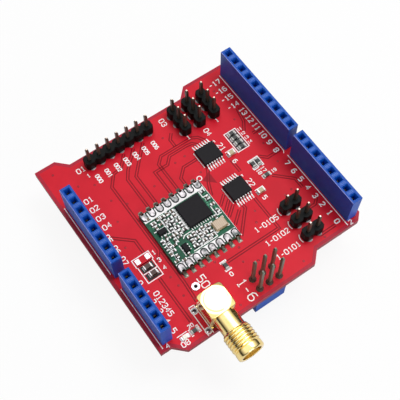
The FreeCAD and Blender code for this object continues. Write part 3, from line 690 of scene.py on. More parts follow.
PRINTED_LINES = """
17.7,49.2 42.7,49.2 43.3,48.8
44.2,49.2 65.6,49.2
26.6,0.95 45.6,0.95
49.6,0.95 65.4,0.95
31.6,40.5 37.2,40.5 37.2,43.6 31.6,43.6 31.6,40.5
41,40.75 40.4,40.75 40.4,43.4 42.95,43.4 42.95,42.9
40.4,42.07 42.95,42.07
42.95,41.9 42.95,40.75 42.3,40.75
31.6,32 36.1,32
42.6,32 47.1,32
31.5,37.3 31.5,37.75 32,37.75
42.3,37.3 42.3,37.75 42.8,37.75
45.6,6.2 47.6,6.2 47.6,10.4 45.6,10.4 45.6,6.2
47.6,6.4 51.9,6.4 51.9,10.1 47.6,10.1 47.6,6.4
49.75,6.4 49.75,10.1
65.2,9 65.2,9.55 66.7,9.55 66.7,9
65.2,7.8 65.2,7.25
66.7,7.8 66.7,7.25
65.1,4.6 65.1,7
61.3,10.15 68.5,10.15
61.3,11.4 68.5,11.4
61.3,10.15 61.3,11.4
57.2,21.3 56.8,21.3 56.8,22.7 57.2,22.7
58.8,21.3 59.15,21.3 59.15,22.7 58.8,22.7
37.9,28.95 54.2,28.95
35.6,40.2 35.6,37.95
47.2,39.9 47.2,37.7
"""
PRINTED_MARKS = """
01 20.5 8.9 1.2 90
03 20.8 30.9 1.2
04 28.8 37.9 1.15
21 33.8 38.2 1.2
22 45 38.2 1.2
6 38.6 38.6 1
5 49.8 38.6 1
17 43.9 42.6 0.8 0 0.18
18 43.9 41.4 0.8 0 0.18
19 45.5 44.3 0.7 90 0.16
1 46.6 11.2 0.9 90
3 48.7 11.2 0.9 90
4 50.8 11.2 0.9 90
20 64.6 8.3 0.75 90 0.17
08 67.1 5.4 1.1 90
2 65.35 50.2 1 90
4 65.4 2.1 1 90
0 60.2 21.9 0.9 90
1-6 65 22.5 2 0 0.24
50 58.2 16.1 1.7 0 0.24
012345 57.4 6.5 1.15
1 27.4 33.5 0.9 90
1 27.4 41.5 0.9 90
1 22.7 9.6 0.8 90
"""
CHIP_PARTS = """
41.6,41.4,0 41.6,42.75,0 45.55,42.25,1 65.95,8.4,1 58,22,0 66,6,1 36.6,39,1 48.1,38.75,1
48.75,8.25,1 50.65,8.55,1
"""


@dataclass
class MainBoard:
    """The red board: mask, gaps round its tracks, tented holes, marks and open pads."""

    under: float = -BOARD_THICK
    gap_wide: float = 0.25
    track_half: float = 0.27
    ink_tall: float = 0.03
    line_wide: float = 0.2
    rim_wide: float = 0.72

    def __post_init__(self) -> None:
        """Sets the marks that stand on the top and on the underside."""
        rows = (
            ("13 12 11 10 9 8", 28.956, 47.9, PITCH, 1.15, 0.0, 0.25),
            ("7 6 5 4 3 2 1 0", 45.72, 47.9, PITCH, 1.15, 0.0, 0.25),
            ("0 1 2 3 4 5", 50.8, 4.95, PITCH),
            ("-17 -16 -15 -14", 18.9, 46.9, 2.5, 1.15, 90.0, 0.24),
            ("01 02 03 04", 28.0, 6.3, PITCH, 1.2, 90.0), ("05 06 07", 38.4, 4.95, 3.1),
            ("1-0105 1-0102 1-0101", 55.1, 35.0, 3.9, 1.12, 90.0),
            ("11 12 13 14", 32.35, 44.35, 1.36, 0.62, 90.0, 0.16))
        marks = [[Mark(word, x + i * step, y, *look) for i, word in enumerate(words.split())]
                 for words, x, y, step, *look in rows]
        marks.append([Mark(f"00{i}", 24.7, 11.15 + i * 2.49, 0.85, 0.0, 0.22)
                      for i in range(7)])
        marks.append([Mark(text, *map(float, sizes)) for text, *sizes in (
            line.split() for line in PRINTED_MARKS.strip().split("\n"))])
        self.top_marks = sum(marks, [])
        self.under_marks = [Mark(m.text, m.x, 5.2 if m.y < 20 else 47.6, 1.2)
                            for m in sum(marks[:3], [])]
        self.under_marks += [Mark("1-6", 65.0, 37.2, 1.6), Mark("01", 25.6, 22.4, 1.6),
                             Mark("50", 58.6, 16.0, 1.6)]

    def gaps(self) -> None:
        """Adds the dark gaps along both sides of each track, and mirrored in y below.

        The bare patch and the painted shade round and under the small parts lie on the same face.
        """
        shell = Shell()
        flip, back = np.array([1.0, -1.0]), np.array([0.0, BOARD_DEEP])
        for line in places(TRACKS):
            side = corner_normals(line, False) * self.track_half
            for way in (-1, 1):
                shell.ribbon(line + way * side, self.gap_wide, SUNK, 0.012)
                shell.ribbon(line * flip + back + way * side * flip, self.gap_wide,
                             self.under - 0.012, self.under - SUNK)
        shell.build("board_track_gaps", GAP, "board_red")
        patch = Shell()
        patch.prism([(37.4, 32.1), (38.5, 29.6), (40.8, 32.1)], SUNK, 0.008)
        patch.build("board_bare_patch", PATCH, "board_red")
        # painted shade: dark fields under and round the resistors and capacitors
        ground = Shell()
        for x, y, wide, deep in ((34.4, 42.05, 5.3, 2.7), (41.67, 41.4, 2.3, 1.1),
                                 (41.67, 42.75, 2.3, 1.1), (48.7, 8.25, 1.7, 3.1),
                                 (50.8, 8.3, 1.7, 3.1)):
            ground.block(x, y, wide, deep, SUNK, 0.016)
        ground.build("board_part_painted_shade", DARK_GAP_AND_SHADE, "board_red")

    def edge_strip(self) -> None:
        """Adds the strip without copper along the board's edge, on both faces."""
        line = np.concatenate(places(BOARD_EDGE))
        inner = line + corner_normals(line, True) * self.rim_wide * 0.55
        shell = Shell()
        for low in (SUNK, self.under - 0.01):
            shell.ribbon(inner, self.rim_wide, low, low + 0.03, closed=True)
        shell.build("board_edge_gap", EDGE, "board_red")

    def tented_holes(self) -> None:
        """Adds a low ring with a dimple at each small plated hole, on both faces."""
        profile = [(0.31, SUNK), (0.28, 0.02), (0.18, 0.028), (0.12, 0.008)]
        shell = Shell()
        for level in (0.0, self.under):
            shell.level = level
            for x, y in np.concatenate(places(TENTED_HOLES)):
                shell.lathe(profile, x, y, 14, flip=level < 0)
        shell.build("board_tented_holes", TENT, "board_red", 50.0)

    def printing(self) -> None:
        """Adds the white numbers and lines; a line that ends where it starts is closed."""
        shell = Shell()
        for mark in self.top_marks:
            mark.draw(shell, SUNK, self.ink_tall)
        for line in places(PRINTED_LINES):
            closed = bool((line[0] == line[-1]).all())
            shell.ribbon(line[:-1] if closed else line, self.line_wide, SUNK, self.ink_tall,
                         closed)
        for x in (54.75, 58.61, 62.47):
            angle = np.radians(np.linspace(218, 300, 9))
            shell.ribbon(np.c_[x + 1.5 * np.cos(angle), 39.9 + 1.2 * np.sin(angle)],
                         self.line_wide, SUNK, self.ink_tall)
        shell.ring(37.6, 29.45, 0.45, 0.66, SUNK, self.ink_tall)
        shell.build("board_markings", INK, "")
        below = Shell(self.under)
        for mark in self.under_marks:
            mark.draw(below, -self.ink_tall, -SUNK, mirror=True)
        for y in (1.1, 4.0, 49.3, 52.2):
            below.ribbon([(18.0, y), (65.4, y)], 0.16, -self.ink_tall, -SUNK)
        below.build("underside_markings", INK, "")

    def pads(self) -> None:
        """Adds the tinned pads under the logic leads, the chip parts and the radio board."""
        shell, edge, high = Shell(), Shell(), 0.035
        for x in (33.85, 44.75):
            for i in range(7):
                for side in (-3.2, 3.2):
                    shell.block(x + side, 34.65 + (i - 3) * 0.65, 1.05, 0.28, SUNK, high)
        parts = [(32.35 + i * 1.36, 42.05, 1) for i in range(4)]
        for x, y, upright in [*parts, *np.concatenate(places(CHIP_PARTS))]:
            shell.part(x, y, bool(upright), 1.0, 0.75, SUNK, high, (-0.75, 0.75))
        shell.build("board_pads", LEAD_PAD, "solder", bevel=0.015)
        for i in range(8):
            edge.block(54.85, 13.9 + 2 * i, 1.2, 1.0, SUNK, high)
            edge.block(37.55, 13.9 + 2 * i, 0.8, 1.1, SUNK, high)
        edge.build("radio_landing_pads", EDGE_TIN, "solder", bevel=0.015)

    def thin_rings(self) -> None:
        """Adds a thin collar with a dark field at the two open holes, and a dark ring of painted
        shade on the feed hole's rim.
        """
        bright, dark = Shell(), Shell()
        # painted shade: a dark ring on the feed pad stands for the inside of its hole
        dark.ring(58.2, 14.1, 0.25, 0.42, 0.2, 0.262)
        for x in (62.45, 67.6):
            bright.ring(x, 10.75, 0.62, 0.79, SUNK, 0.06, 28)
            bright.ring(x, 10.75, 0.475, 0.54, SUNK, 0.04, 28)
            dark.ring(x, 10.75, 0.53, 0.63, SUNK, 0.03, 28)
        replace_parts(bright.build("spare_hole_collars", INK, "solder", 40.0),
                    "spare_hole_rings")
        dark.build("hole_dark_rings_and_feed_shade", DARK_GAP_AND_SHADE, "solder")

    def build(self) -> None:
        """Builds and dresses the board."""
        dress("main_board", MASK)
        dress("open_link_pads", TIN)
        self.thin_rings()
        dress("feed_pad", TIN)
        self.gaps()
        self.edge_strip()
        self.tented_holes()
        self.printing()
        self.pads()


# Sockets and headers


@dataclass
class Sockets:
    """The blue pass-through sockets and the socket below the board."""

    bevel: float = 0.1
    tall: float = 8.5
    edge_in: float = 1.19
    rows: dict[str, tuple[float, float, int]] = field(default_factory=lambda: {
        "digital_long": (18.796, 50.8, 10), "digital_short": (45.72, 50.8, 8),
        "power": (27.94, 2.54, 8), "analog": (50.8, 2.54, 6),
    })

    def top_lines(self) -> None:
        """Adds two fine moulded ridges between neighbouring mouths and a line along the near top
        edge, both paler blue as painted highlight.
        """
        ribs, edges = Shell(self.tall), Shell(self.tall)
        for x, y, count in self.rows.values():
            for i in range(count - 1):
                for side in (-0.14, 0.14):
                    ribs.block(x + (i + 0.5) * PITCH + side, y, 0.09, 1.5, SUNK, 0.015)
            first, last = x - PITCH / 2 + 0.1, x + (count - 0.5) * PITCH - 0.1
            # painted highlight along the near edge only
            edges.ribbon([(first, y - self.edge_in), (last, y - self.edge_in)], 0.12,
                         -0.08, 0.008)
        ribs.build("socket_rib_highlights", BLUE_RIB_HIGHLIGHT, "socket_blue")
        edges.build("socket_edge_highlights", BLUE_EDGE_HIGHLIGHT, "socket_blue")

    def build(self) -> None:
        """Builds and dresses the sockets."""
        for label in self.rows:
            softened(f"{label}_socket", f"{label}_housing", BLUE, self.bevel)
            dress(f"{label}_contacts", FORK_SHADE)
        softened("under_socket", "under_housing", BLUE, self.bevel)
        dress("under_socket_pins", LONG_PIN)
        self.top_lines()


@dataclass
class Headers:
    """The black pin headers with their pins and the long pads below them."""

    bevel: float = 0.12
    labels: tuple[str, ...] = ("side", "select_0", "select_1", "select_2", "link_0", "link_1",
                               "link_2")
    pad_long: float = 2.9
    pad_wide: float = 1.5
    pad_off: float = 0.15

    def rows(self) -> list[Row]:
        """Each row's first pin, whether it runs along Y, and its count."""
        return [(20.6, 11.47, True, 7),
                *((20.6, 33.9 + 4 * i, False, 3) for i in range(3)),
                *((54.75 + 3.86 * i, 40.37, True, 2) for i in range(3))]

    def oval(self, x: float, y: float, upright: bool) -> np.ndarray:
        """A long pad's outline: two half circles joined by straight sides.

        Args:
            x, y: the pad's middle.
            upright: whether it lies along Y.

        Returns:
            Its points, anticlockwise.
        """
        half, r = (self.pad_long - self.pad_wide) / 2, self.pad_wide / 2
        angle = np.radians(np.linspace(-90, 90, 9))
        right = np.c_[half + r * np.cos(angle), r * np.sin(angle)]
        points = np.concatenate([right, -right])
        if upright:
            points = points @ np.array([[0.0, 1.0], [-1.0, 0.0]])
        return points + [x, y]

    def pads_and_tips(self) -> None:
        """Adds a pad across each row at every pin, and a painted highlight on the top end of each
        pin.
        """
        pads, tips = Shell(), Shell()
        for x, y, upright, count in self.rows():
            for i in range(count):
                px, py = beside(x, y, upright, PITCH * i)
                off = self.pad_off if upright else -self.pad_off
                pads.prism(self.oval(*beside(px, py, not upright, off), not upright), SUNK, 0.05)
                tips.block(px, py, 0.34, 0.34, 6.7, 6.83)
        pads.build("header_pads", PAD, "solder", bevel=0.015)
        tips.build("header_pin_tip_highlights", PIN_TIP_HIGHLIGHT, "pin_tin")

    def build(self) -> None:
        """Builds and dresses the headers."""
        for label in self.labels:
            softened(f"{label}_header", f"{label}_housing", BLACK, self.bevel)
            dress(f"{label}_pins", PIN)
        self.pads_and_tips()


@dataclass
class SolderWork:
    """Smooth cones of solder round every pin."""

    foot: float = 0.85
    neck: float = 0.47
    tall: float = 0.95

    def cones(self, rows: Iterable[Row], above: bool = False) -> Shell:
        """Makes a cone at each pin: its radius falls from foot to neck along a quarter wave.

        Args:
            rows: each row's first pin, whether it runs along Y, and its count.
            above: whether the cones stand on the board instead of hanging below it.

        Returns:
            The shell with the cones.
        """
        t = np.linspace(0, 1, 7)
        r = self.neck + (self.foot - self.neck) * (1 - np.sin(t * math.pi / 2)) ** 1.2
        profile = np.concatenate([[(self.foot, -0.03)], np.c_[r, t * self.tall],
                                  [(0.3, self.tall - 0.04)]])
        shell = Shell(0.0 if above else -BOARD_THICK)
        for x, y, upright, count in rows:
            for i in range(count):
                shell.lathe(profile, *beside(x, y, upright, PITCH * i), 16, flip=not above)
        return shell

    def build(self) -> None:
        """Builds the three sets of joints."""
        sockets = self.cones((x, y, False, count) for x, y, count in Sockets().rows.values())
        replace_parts(sockets.build("socket_solder_cones", TIN, "solder", 60.0),
                    "socket_solder")
        headers = self.cones(Headers().rows())
        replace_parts(headers.build("header_solder_cones", TIN, "solder", 60.0),
                    "header_solder")
        upper = self.cones([(63.73 + PITCH * i, 24.86, True, 3) for i in range(2)], above=True)
        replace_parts(upper.build("upper_solder_cones", DULL_TIN, "solder", 60.0),
                    "under_socket_solder")


# Radio board

LOOSE_PARTS = """
41,15.9,0 42.5,15.95,1 39.9,14.3,1 46.2,16.2,1 47.5,16.35,0 46.4,13.75,0 48,13.7,0 49.6,13.75,0
47.2,17.6,1 51.6,13.9,1 52.2,15.4,1 48.3,15.6,1 51.9,17,0 45.7,15.2,0 49.9,25.9,1 47.9,26.6,0
"""
BRACKETS = """
40.9,20.25 46.9,20.25
47.5,20.6 47.5,18.6 48,18
48.1,24.7 48.1,25.3 50.6,24.4 51.7,24.4 51.7,18.2
45.1,28.4 45.1,27.2 47.6,27.2 47.6,28.4
43.3,13.6 43.3,16.5 45.1,16.5
48.8,16.3 51.6,16.3
40.6,27.1 42.3,27.1 42.3,28.4
45.2,16.8 48.1,16.8
46,20 46.6,18.6 47,18.6
40.5,16.45 43.1,16.45
45.4,14.2 50.8,14.2
45.2,15.9 45.2,17.4 46.3,17.4
49,24.4 49,23.9
"""


@dataclass
class RadioBoard:
    """The green board with half holes, its printed bands, tracks and small parts."""

    left: float = 38.0
    right: float = 54.2
    first_pad: float = 13.9
    pad_step: float = 2.0
    hole: float = 0.44
    ink: float = 0.03
    blocks: tuple[tuple[float, float, float, float, int, int], ...] = (
        (48.45, 19.25, 1.25, 1.16, 3, 5), (41.2, 17.1, 1.28, 1.2, 5, 3),
        (46.35, 14.65, 1.45, 0.0, 4, 1), (41.1, 27.85, 1.9, 0.0, 4, 1),
        (41.5, 14.65, 1.28, 0.0, 2, 1),
    )

    def spots(self) -> list[tuple[float, float, bool]]:
        """The places of the small parts and whether each lies along Y."""
        return [(x + i * dx, y + j * dy, (i + j) % 2 == 0)
                for x, y, dx, dy, columns, rows in self.blocks
                for j in range(rows) for i in range(columns)]

    def loose_parts(self) -> None:
        """Adds the loose small parts that stand between the regular blocks.

        Each has a body of 0.5 x 0.62 and two ends of 0.55 x 0.26 that meet it.
        """
        bodies, ends = Shell(RADIO_TOP), Shell(RADIO_TOP)
        for x, y, upright in np.concatenate(places(LOOSE_PARTS)):
            bodies.part(x, y, bool(upright), 0.5, 0.62, SUNK, 0.46)
            ends.part(x, y, bool(upright), 0.55, 0.26, SUNK, 0.48, (-0.42, 0.42))
        bodies.build("radio_loose_parts", SPECK, "speck_mixed", bevel=0.03)
        ends.build("radio_loose_part_ends", PART_END, "solder", bevel=0.03)

    def printing(self) -> None:
        """Adds the white bands beside the pads and the brackets round the small parts."""
        shell = Shell(RADIO_TOP)
        shell.block(39.43, 20.9, 2.05, 15.3, SUNK, self.ink)
        shell.block(52.92, 20.9, 1.7, 15.3, SUNK, self.ink)
        rng = np.random.default_rng(23)
        for x, y, upright in self.spots():
            for side in (-0.5, 0.5):
                if rng.random() < 0.45:
                    continue
                far = 0.62 * rng.choice([0.5, 1.0])
                middle = beside(x, y, not upright, side)
                shell.ribbon([beside(*middle, upright, -far), beside(*middle, upright, far)],
                             0.17, SUNK, self.ink)
        for path in places(BRACKETS):
            shell.ribbon(path, 0.2, SUNK, self.ink)
        shell.build("radio_markings", INK, "")

    def tongue(self, edge: float, way: int, y: float, half: float, reach: float) -> np.ndarray:
        """The outline of a pad from the board's edge to a half circle at its inner end.

        A bite of the half hole's radius is left open at the edge, so the outline runs round
        the inner end and comes back round the hole.

        Args:
            edge: x of the board's edge.
            way: 1 where the pad runs towards plus X, else -1.
            y: the pad's middle.
            half: half its width.
            reach: how far it runs in.

        Returns:
            Its points, anticlockwise.
        """
        angle = np.radians(np.linspace(-90, 90, 11))
        inner = np.c_[edge + way * (reach - half + half * np.cos(angle)),
                      y + half * np.sin(angle)]
        bite = np.c_[edge + way * self.hole * np.cos(angle), y + self.hole * np.sin(angle)]
        points = np.concatenate([[(edge, y - half)], inner, [(edge, y + half)], bite[::-1]])
        return points[::way]

    def edge_pads(self) -> None:
        """Adds each edge pad as a tinned tongue with a dark gap round its inner end."""
        gaps, pads = Shell(RADIO_TOP), Shell(RADIO_TOP)
        for edge, way in ((self.left + 0.03, 1), (self.right - 0.03, -1)):
            for i in range(8):
                y = self.first_pad + self.pad_step * i
                gaps.prism(self.tongue(edge + way * 0.02, way, y, 0.86, 2.04), SUNK, 0.045)
                pads.prism(self.tongue(edge, way, y, 0.58, 1.74), SUNK, 0.09)
        gaps.build("radio_pad_gaps", DARK_GAP_AND_SHADE, "radio_green")
        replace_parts(pads.build("radio_edge_pads", PAD, "solder"), "radio_pads")

    def vias(self) -> None:
        """Adds the pale plated dots beside the radio chip and between the parts."""
        rng = np.random.default_rng(5)
        shell = Shell(RADIO_TOP)
        for i in range(16):
            x, y = 42.6 + (i % 8) * 0.68, 27.15 + (i // 8) * 0.72
            shell.lathe([(0.2, SUNK), (0.18, 0.03), (0.06, 0.02)], x + rng.uniform(-0.12, 0.12),
                        y + rng.uniform(-0.12, 0.12), 10)
        for x, y in ((48.8, 20.8), (50.9, 23.9), (46.2, 16.4), (42.9, 19.0), (47.9, 16.7)):
            shell.lathe([(0.22, SUNK), (0.2, 0.03), (0.06, 0.02)], x, y, 10)
        shell.build("radio_vias", GREEN_LINE, "radio_green", 50.0)

    def tracks(self) -> None:
        """Adds dark fields, paler green tracks and small bright joints round the parts.

        A track runs from its part along a diagonal and then along Y, each by a random length.
        """
        rng = np.random.default_rng(11)
        fields, shell, joints = Shell(RADIO_TOP), Shell(RADIO_TOP), Shell(RADIO_TOP)
        for x, y, upright in self.spots():
            fields.part(x, y, upright, 1.0, 1.36, SUNK, 0.008)
            slant, rise = rng.uniform(-0.7, 0.7, 2)
            path = [(x, y), (x + slant, y + slant), (x + slant, y + slant + rise * 1.4)]
            shell.ribbon(np.clip(path, [38.6, 13.4], [53.6, 28.4]), 0.14, SUNK, 0.012)
        for x, y, upright in self.spots():
            for side in (-0.52, 0.52):
                if rng.random() >= 0.5:
                    joints.part(x, y, upright, 0.5, 0.3, SUNK, 0.1, (side,))
        fields.build("radio_part_fields", DARK_GAP_AND_SHADE, "radio_green")
        shell.build("radio_tracks", GREEN_LINE, "radio_green")
        joints.build("radio_part_joints", PART_END, "solder", bevel=0.05)

    def chip_leads(self) -> None:
        """Adds the short flat leads that show round the radio chip and the two small chips."""
        shell, low = Shell(RADIO_TOP), -0.01
        for i in range(10):
            step = (i - 4.5) * 0.58
            shell.block(47.25, 23.5 + step, 0.6, 0.24, low, 0.08)
            shell.block(44.0 + step, 20.25, 0.24, 0.6, low, 0.08)
        for i in range(3):
            for side in (-0.8, 0.8):
                shell.block(49.55 + i * 0.65, 17.15 + side, 0.28, 0.36, low, 0.12)
                shell.block(44.2 + side, 14.45 + i * 0.65, 0.36, 0.28, low, 0.12)
        shell.build("radio_chip_leads", PART_END, "pin_tin", bevel=0.02)

    def fillets(self) -> None:
        """Adds the solder that rises from the board's pads into each half hole.

        A fillet is a tube of arches. At distance d from the edge the arch's height is
        0.78 (1 - d)^2 + 0.09 and its half width 0.52 (1 - d/6), with rounded shoulders.
        """
        shell = Shell()
        d = np.linspace(0, 1, 7)[:, None]
        angle = np.radians(np.linspace(0, 180, 11))
        tall = 0.78 * (1 - d) ** 2 + 0.09
        half = 0.52 * (1 - d / 6)
        for side, edge in ((-1, self.left), (1, self.right)):
            for i in range(8):
                y = self.first_pad + self.pad_step * i
                x = edge + side * (0.01 + d * 1.1)
                shell.sheet(np.stack([x + 0 * angle, y + half * np.cos(angle),
                                      tall * np.sin(angle) ** 0.6], axis=-1))
        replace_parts(shell.build("radio_edge_solder", EDGE_TIN, "solder", 60.0),
                    "radio_solder")

    def build(self) -> None:
        """Builds and dresses the radio board."""
        dress("radio_board", GREEN)
        dress("radio_part_bodies", SPECK)
        dress("radio_part_ends", PART_END)
        softened("radio_chip", "radio_chip_moulding", EPOXY, 0.05)
        for label in ("radio_switch", "radio_filter"):
            softened(f"{label}_chip", f"{label}_moulding", EPOXY, 0.05)
        softened("crystal_base", "crystal_tray", CRYSTAL_BASE, 0.05)
        softened("crystal_lid", "crystal_cover", CRYSTAL, 0.06)
        corners = Shell(RADIO_TOP)
        for x in (48.62, 50.88):
            for y in (24.85, 27.75):
                corners.block(x, y, 0.55, 0.6, 0.0, 0.3)
        corners.build("crystal_corner_joints", PART_END, "solder", bevel=0.04)
        self.loose_parts()
        self.printing()
        self.tracks()
        self.chip_leads()
        self.edge_pads()
        self.vias()
        self.fillets()


# Chips and chip parts of the main board


@dataclass
class BoardParts:
    """The two logic chips, the resistors, capacitors and the lamp."""

    brown: Path = ((48.75, 8.25), (50.65, 8.55))

    def build(self) -> None:
        """Builds and dresses the parts, the chips' corner rings and the brown sleeves."""
        for label in ("left_logic", "right_logic"):
            softened(f"{label}_chip", f"{label}_moulding", EPOXY, 0.06)
            dress(f"{label}_leads", PART_END)
        for node, finish in (("resistor_bodies", RESISTOR), ("resistor_ends", RESISTOR_END),
                             ("capacitor_bodies", CERAMIC), ("capacitor_ends", PART_END),
                             ("power_lamp_base", RESIN), ("power_lamp_ends", TIN),
                             ("power_lamp_dome", LAMP)):
            dress(node, finish)
        rings, sleeves = Shell(), Shell()
        for x, y, top in ((32.5, 36.4, 1.1), (43.4, 36.4, 1.1), (41.8, 25.7, 1.8)):
            rings.ring(x, y, 0.22, 0.3, top + SUNK, top + 0.012, 20)
        rings.build("chip_corner_rings", EPOXY, "chip_black")
        for x, y in self.brown:
            sleeves.block(x, y, 0.99, 1.3, SUNK, 0.87)
            sleeves.block(x, y, 1.35, 1.9, SUNK, 0.12)
        sleeves.build("capacitor_brown_sleeves", BROWN_CERAMIC, "ceramic_tan", bevel=0.03)


# Antenna connector


@dataclass
class Antenna:
    """The gold right-angle connector: block, legs, neck, thread, collar and bore."""

    x: float = 64.7
    y: float = 14.6
    axis: float = 3.15
    side: float = 6.0
    square: float = 12.0
    crown: float = 3.1
    tall: float = 6.2
    neck_start: float = 66.9
    neck: float = 2.6
    neck_end: float = 71.3
    tip: float = 77.2
    crest: float = 3.17
    root: float = 2.86
    thread_pitch: float = 0.72
    collar: float = 1.6
    bore: float = 2.3
    bore_deep: float = 2.0

    def barrel(self) -> None:
        """Adds the neck, the thread and the collar as one turned surface.

        Over the thread the radius is root + depth x a ridge wave of (x/pitch - angle), which
        rises and falls by a smoothed triangle, and it fades in and out over 0.3 mm.
        Elsewhere the radius follows the profile of neck, collar, front face and bore.
        """
        around = 72
        angle = np.arange(around) * 2 * math.pi / around
        start, end = self.neck_end + 0.25, self.tip - self.collar
        along = np.linspace(start, end, int((end - start) / self.thread_pitch * 10))
        phase = (along[:, None] - start) / self.thread_pitch - angle / (2 * math.pi)
        ridge = 1 - (1 - np.abs((phase % 1.0) * 2 - 1)) ** 2.4
        fade = np.clip((along - start) / 0.3, 0, 1) * np.clip((end - along) / 0.3, 0, 1)
        turned = self.root + (self.crest - self.root) * ridge * fade[:, None]
        plain = np.array([
            (self.neck_start, self.neck), (self.neck_end, self.neck),
            (self.neck_end, self.root - 0.05), (self.neck_end + 0.05, self.root)])
        rim, floor = self.crest - 0.12, self.tip - self.bore_deep
        front = np.array([
            (end + 0.02, self.root), (end + 0.18, rim), (self.tip - 0.3, rim),
            (self.tip - 0.08, self.crest - 0.26), (self.tip, self.crest - 0.4),
            (self.tip, self.bore + 0.12), (self.tip - 0.1, self.bore), (floor, self.bore),
            (floor, 0.4)])
        x = np.concatenate([plain[:, 0], along, front[:, 0]])[:, None]
        r = np.concatenate([np.repeat(plain[:, 1:], around, 1), turned,
                            np.repeat(front[:, 1:], around, 1)])
        shell = Shell()
        shell.sheet(np.stack([x + 0 * angle, self.y + r * np.cos(angle),
                              self.axis + r * np.sin(angle)], axis=-1))
        shell.build("antenna_barrel", GOLD, "connector_gold", 38.0)

    def body(self) -> None:
        """Adds the block on its legs, with a round crown whose edge slopes to the corners.

        The wall at angle a stands at half the side over (|cos a|^n + |sin a|^n)^(1/n), a square
        with soft corners. The crown's edge is the lesser of that and a circle, and the slope
        between them falls two fifths of its width.
        """
        angle = (np.arange(96) + 0.5) * 2 * math.pi / 96
        wave = np.abs(np.cos(angle)) ** self.square + np.abs(np.sin(angle)) ** self.square
        wall = self.side / 2 / wave ** (1 / self.square)
        crown = np.minimum(wall - 0.1, self.crown)
        drop = (wall - crown) * 0.4
        r = np.stack([wall, wall, crown, crown * 0.9])
        z = np.stack([0 * wall, self.tall - drop, 0 * wall + self.tall, 0 * wall + self.tall])
        shell = Shell()
        shell.sheet(np.stack([self.x + r * np.cos(angle), self.y + r * np.sin(angle), z],
                             axis=-1))
        for x, y in self.legs():
            shell.block(x, y, 1.0, 1.0, -3.2, 0.0)
        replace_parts(shell.build("antenna_block", GOLD, "connector_gold", bevel=0.16),
                    "antenna_body")
        cap = Shell(self.tall)
        cap.lathe([(2.65, SUNK), (2.55, 0.02), (2.3, 0.05), (1.9, 0.07), (0.8, 0.08)],
                  self.x, self.y, 64)
        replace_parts(cap.build("antenna_top_cap", GOLD, "connector_gold", 60.0),
                    "antenna_cap")

    def legs(self) -> list[tuple[float, float]]:
        """The places of the four legs, a pitch from the middle both ways."""
        return [(self.x + i * PITCH, self.y + j * PITCH) for i in (-1, 1) for j in (-1, 1)]

    def joints(self) -> None:
        """Adds solder round the legs and the centre pin under the board."""
        shell = Shell(-BOARD_THICK)
        for x, y in self.legs():
            shell.lathe([(1.25, SUNK), (1.1, 0.18), (0.86, 0.5), (0.74, 0.85), (0.5, 0.95)],
                        x, y, 20, flip=True)
        shell.lathe([(0.95, SUNK), (0.8, 0.2), (0.6, 0.6), (0.5, 0.9), (0.3, 1.0)], self.x,
                    self.y, 20, flip=True)
        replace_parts(shell.build("antenna_solder_cones", TIN, "solder", 60.0),
                    "antenna_solder")

    def build(self) -> None:
        """Builds and dresses the connector."""
        self.body()
        self.barrel()
        self.joints()
        dress("antenna_insulator", RESIN)
        dress("antenna_contact", GOLD)


# Studio


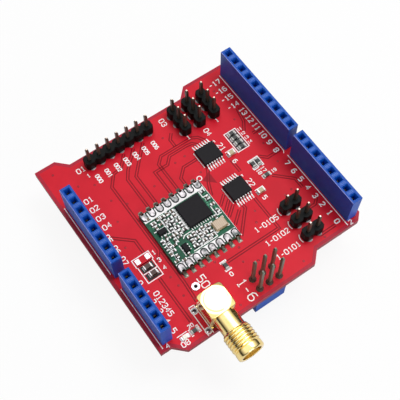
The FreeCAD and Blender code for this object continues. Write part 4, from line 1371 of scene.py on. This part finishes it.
@dataclass
class Studio:
    """Floor, lamps, world and the camera at the photograph's angle."""

    focal: float = 762.640
    frame_side: float = 400.0
    sensor: float = 36.0
    middle: tuple[float, float] = (203.85, 243.18)
    turn: Triple = (2.45780235, 1.27443547, -0.26936330)
    shift: Triple = (-46.7209100, -27.0336266, 176.0039830)
    reach: float = 1.2

    def camera(self) -> None:
        """Sets the camera from its turn vector and shift, in board millimetres.

        The turn vector's length is an angle and its direction an axis. The camera stands at
        minus the turned-back shift, and looks along its own minus Z.
        """
        turn = Vector(self.turn)
        spin = Matrix.Rotation(turn.length, 3, turn.normalized())
        place = -(spin.transposed() @ Vector(self.shift))
        data = bpy.data.cameras.new("studio_camera")
        data.sensor_width = self.sensor
        data.lens = self.focal / self.frame_side * self.sensor
        data.shift_x = (self.frame_side / 2 - self.middle[0]) / self.frame_side
        data.shift_y = (self.middle[1] - self.frame_side / 2) / self.frame_side
        data.clip_start, data.clip_end = 0.01, 5.0
        camera = bpy.data.objects.new("studio_camera", data)
        bpy.context.scene.collection.objects.link(camera)
        columns = Matrix((spin[0], -Vector(spin[1]), -Vector(spin[2]))).transposed()
        camera.matrix_world = (Matrix.Translation(Vector(at(np.array(place)).tolist()))
                               @ columns.to_4x4())
        bpy.context.scene.camera = camera

    def lamp(self, name: str, place: Triple, size: float, power: float) -> None:
        """Adds one soft square lamp that looks at the object.

        Args:
            name: the lamp's name.
            place: where it stands, in metres.
            size: its side in metres.
            power: its power in watts.
        """
        data = bpy.data.lights.new(name, "AREA")
        data.size = size
        data.energy = power
        lamp = bpy.data.objects.new(name, data)
        bpy.context.scene.collection.objects.link(lamp)
        lamp.location = place
        lamp.rotation_euler = (Vector((0, 0, 0.01)) - Vector(place)).to_track_quat(
            "-Z", "Y").to_euler()

    def world(self) -> None:
        """White for the camera, a soft sky for reflections and a dim one for shading.

        The sky's strength rises with the direction's height, so metal shows a dark foot.
        """
        world = bpy.data.worlds.new("studio_world")
        bpy.context.scene.world = world
        world.use_nodes = True
        nodes = Nodes(world.node_tree, clear=True)
        up = nodes.add("SeparateXYZ", "Z", {"Vector": nodes.add("TexCoord", "Generated")})
        ramp = nodes.add("MapRange", "Result", {"Value": up, "From Min": 0.24,
                                                "From Max": 0.72, "To Min": 0.06, "To Max": 1.6})
        sky, fill, white = (nodes.add("Background", "Background", {"Strength": strength})
                            for strength in (ramp, 0.32, 1.0))
        gloss = nodes.shaders(nodes.add("LightPath", "Is Glossy Ray"), fill, sky)
        seen = nodes.add("Math", "Value", {
            0: nodes.add("LightPath", "Is Camera Ray"),
            1: nodes.add("LightPath", "Is Transmission Ray")}, operation="MAXIMUM")
        nodes.end("OutputWorld", nodes.shaders(seen, gloss, white))

    def floor(self) -> None:
        """A pale floor that keeps a faint shadow, seen through from below."""
        sheet = bpy.data.meshes.new("floor")
        corners = [(i * self.reach, j * self.reach, 0) for i, j in (
            (-1, -1), (1, -1), (1, 1), (-1, 1))]
        sheet.from_pydata(corners, [], [(0, 1, 2, 3)])
        floor = bpy.data.objects.new("floor", sheet)
        bpy.context.scene.collection.objects.link(floor)
        made = bpy.data.materials.new("pale_floor")
        made.use_nodes = True
        nodes = Nodes(made.node_tree, clear=True)
        matt = nodes.add("BsdfDiffuse", "BSDF", {"Color": (0.9, 0.9, 0.9, 1)})
        share = nodes.add("Math", "Value", {0: nodes.add("LightPath", "Is Camera Ray"), 1: 0.9},
                          operation="MULTIPLY")
        shown = nodes.shaders(share, matt, nodes.add("Emission", "Emission"))
        nodes.end("OutputMaterial", nodes.shaders(
            nodes.add("NewGeometry", "Backfacing"), shown, nodes.add("BsdfTransparent", "BSDF")))
        sheet.materials.append(made)

    def build(self) -> None:
        """Sets up the studio."""
        self.camera()
        self.world()
        self.floor()
        self.lamp("soft_box", (-0.23, 0.17, 0.6), 0.5, 1.95)
        self.lamp("top_lamp", (0.05, 0.28, 0.62), 0.25, 1.6)
        self.lamp("side_lamp", (0.42, 0.0, 0.14), 0.2, 0.62)
        bpy.context.scene.view_settings.view_transform = "Standard"


def main() -> None:
    """Builds every part of the scene in order."""
    logging.basicConfig(level=logging.INFO, format="%(name)s %(message)s")
    for part in (MainBoard(), Sockets(), Headers(), SolderWork(), RadioBoard(), BoardParts(),
                 Antenna(), Studio()):
        LOG.info("building %s", type(part).__name__)
        part.build()


if __name__ == "__main__":
    main()
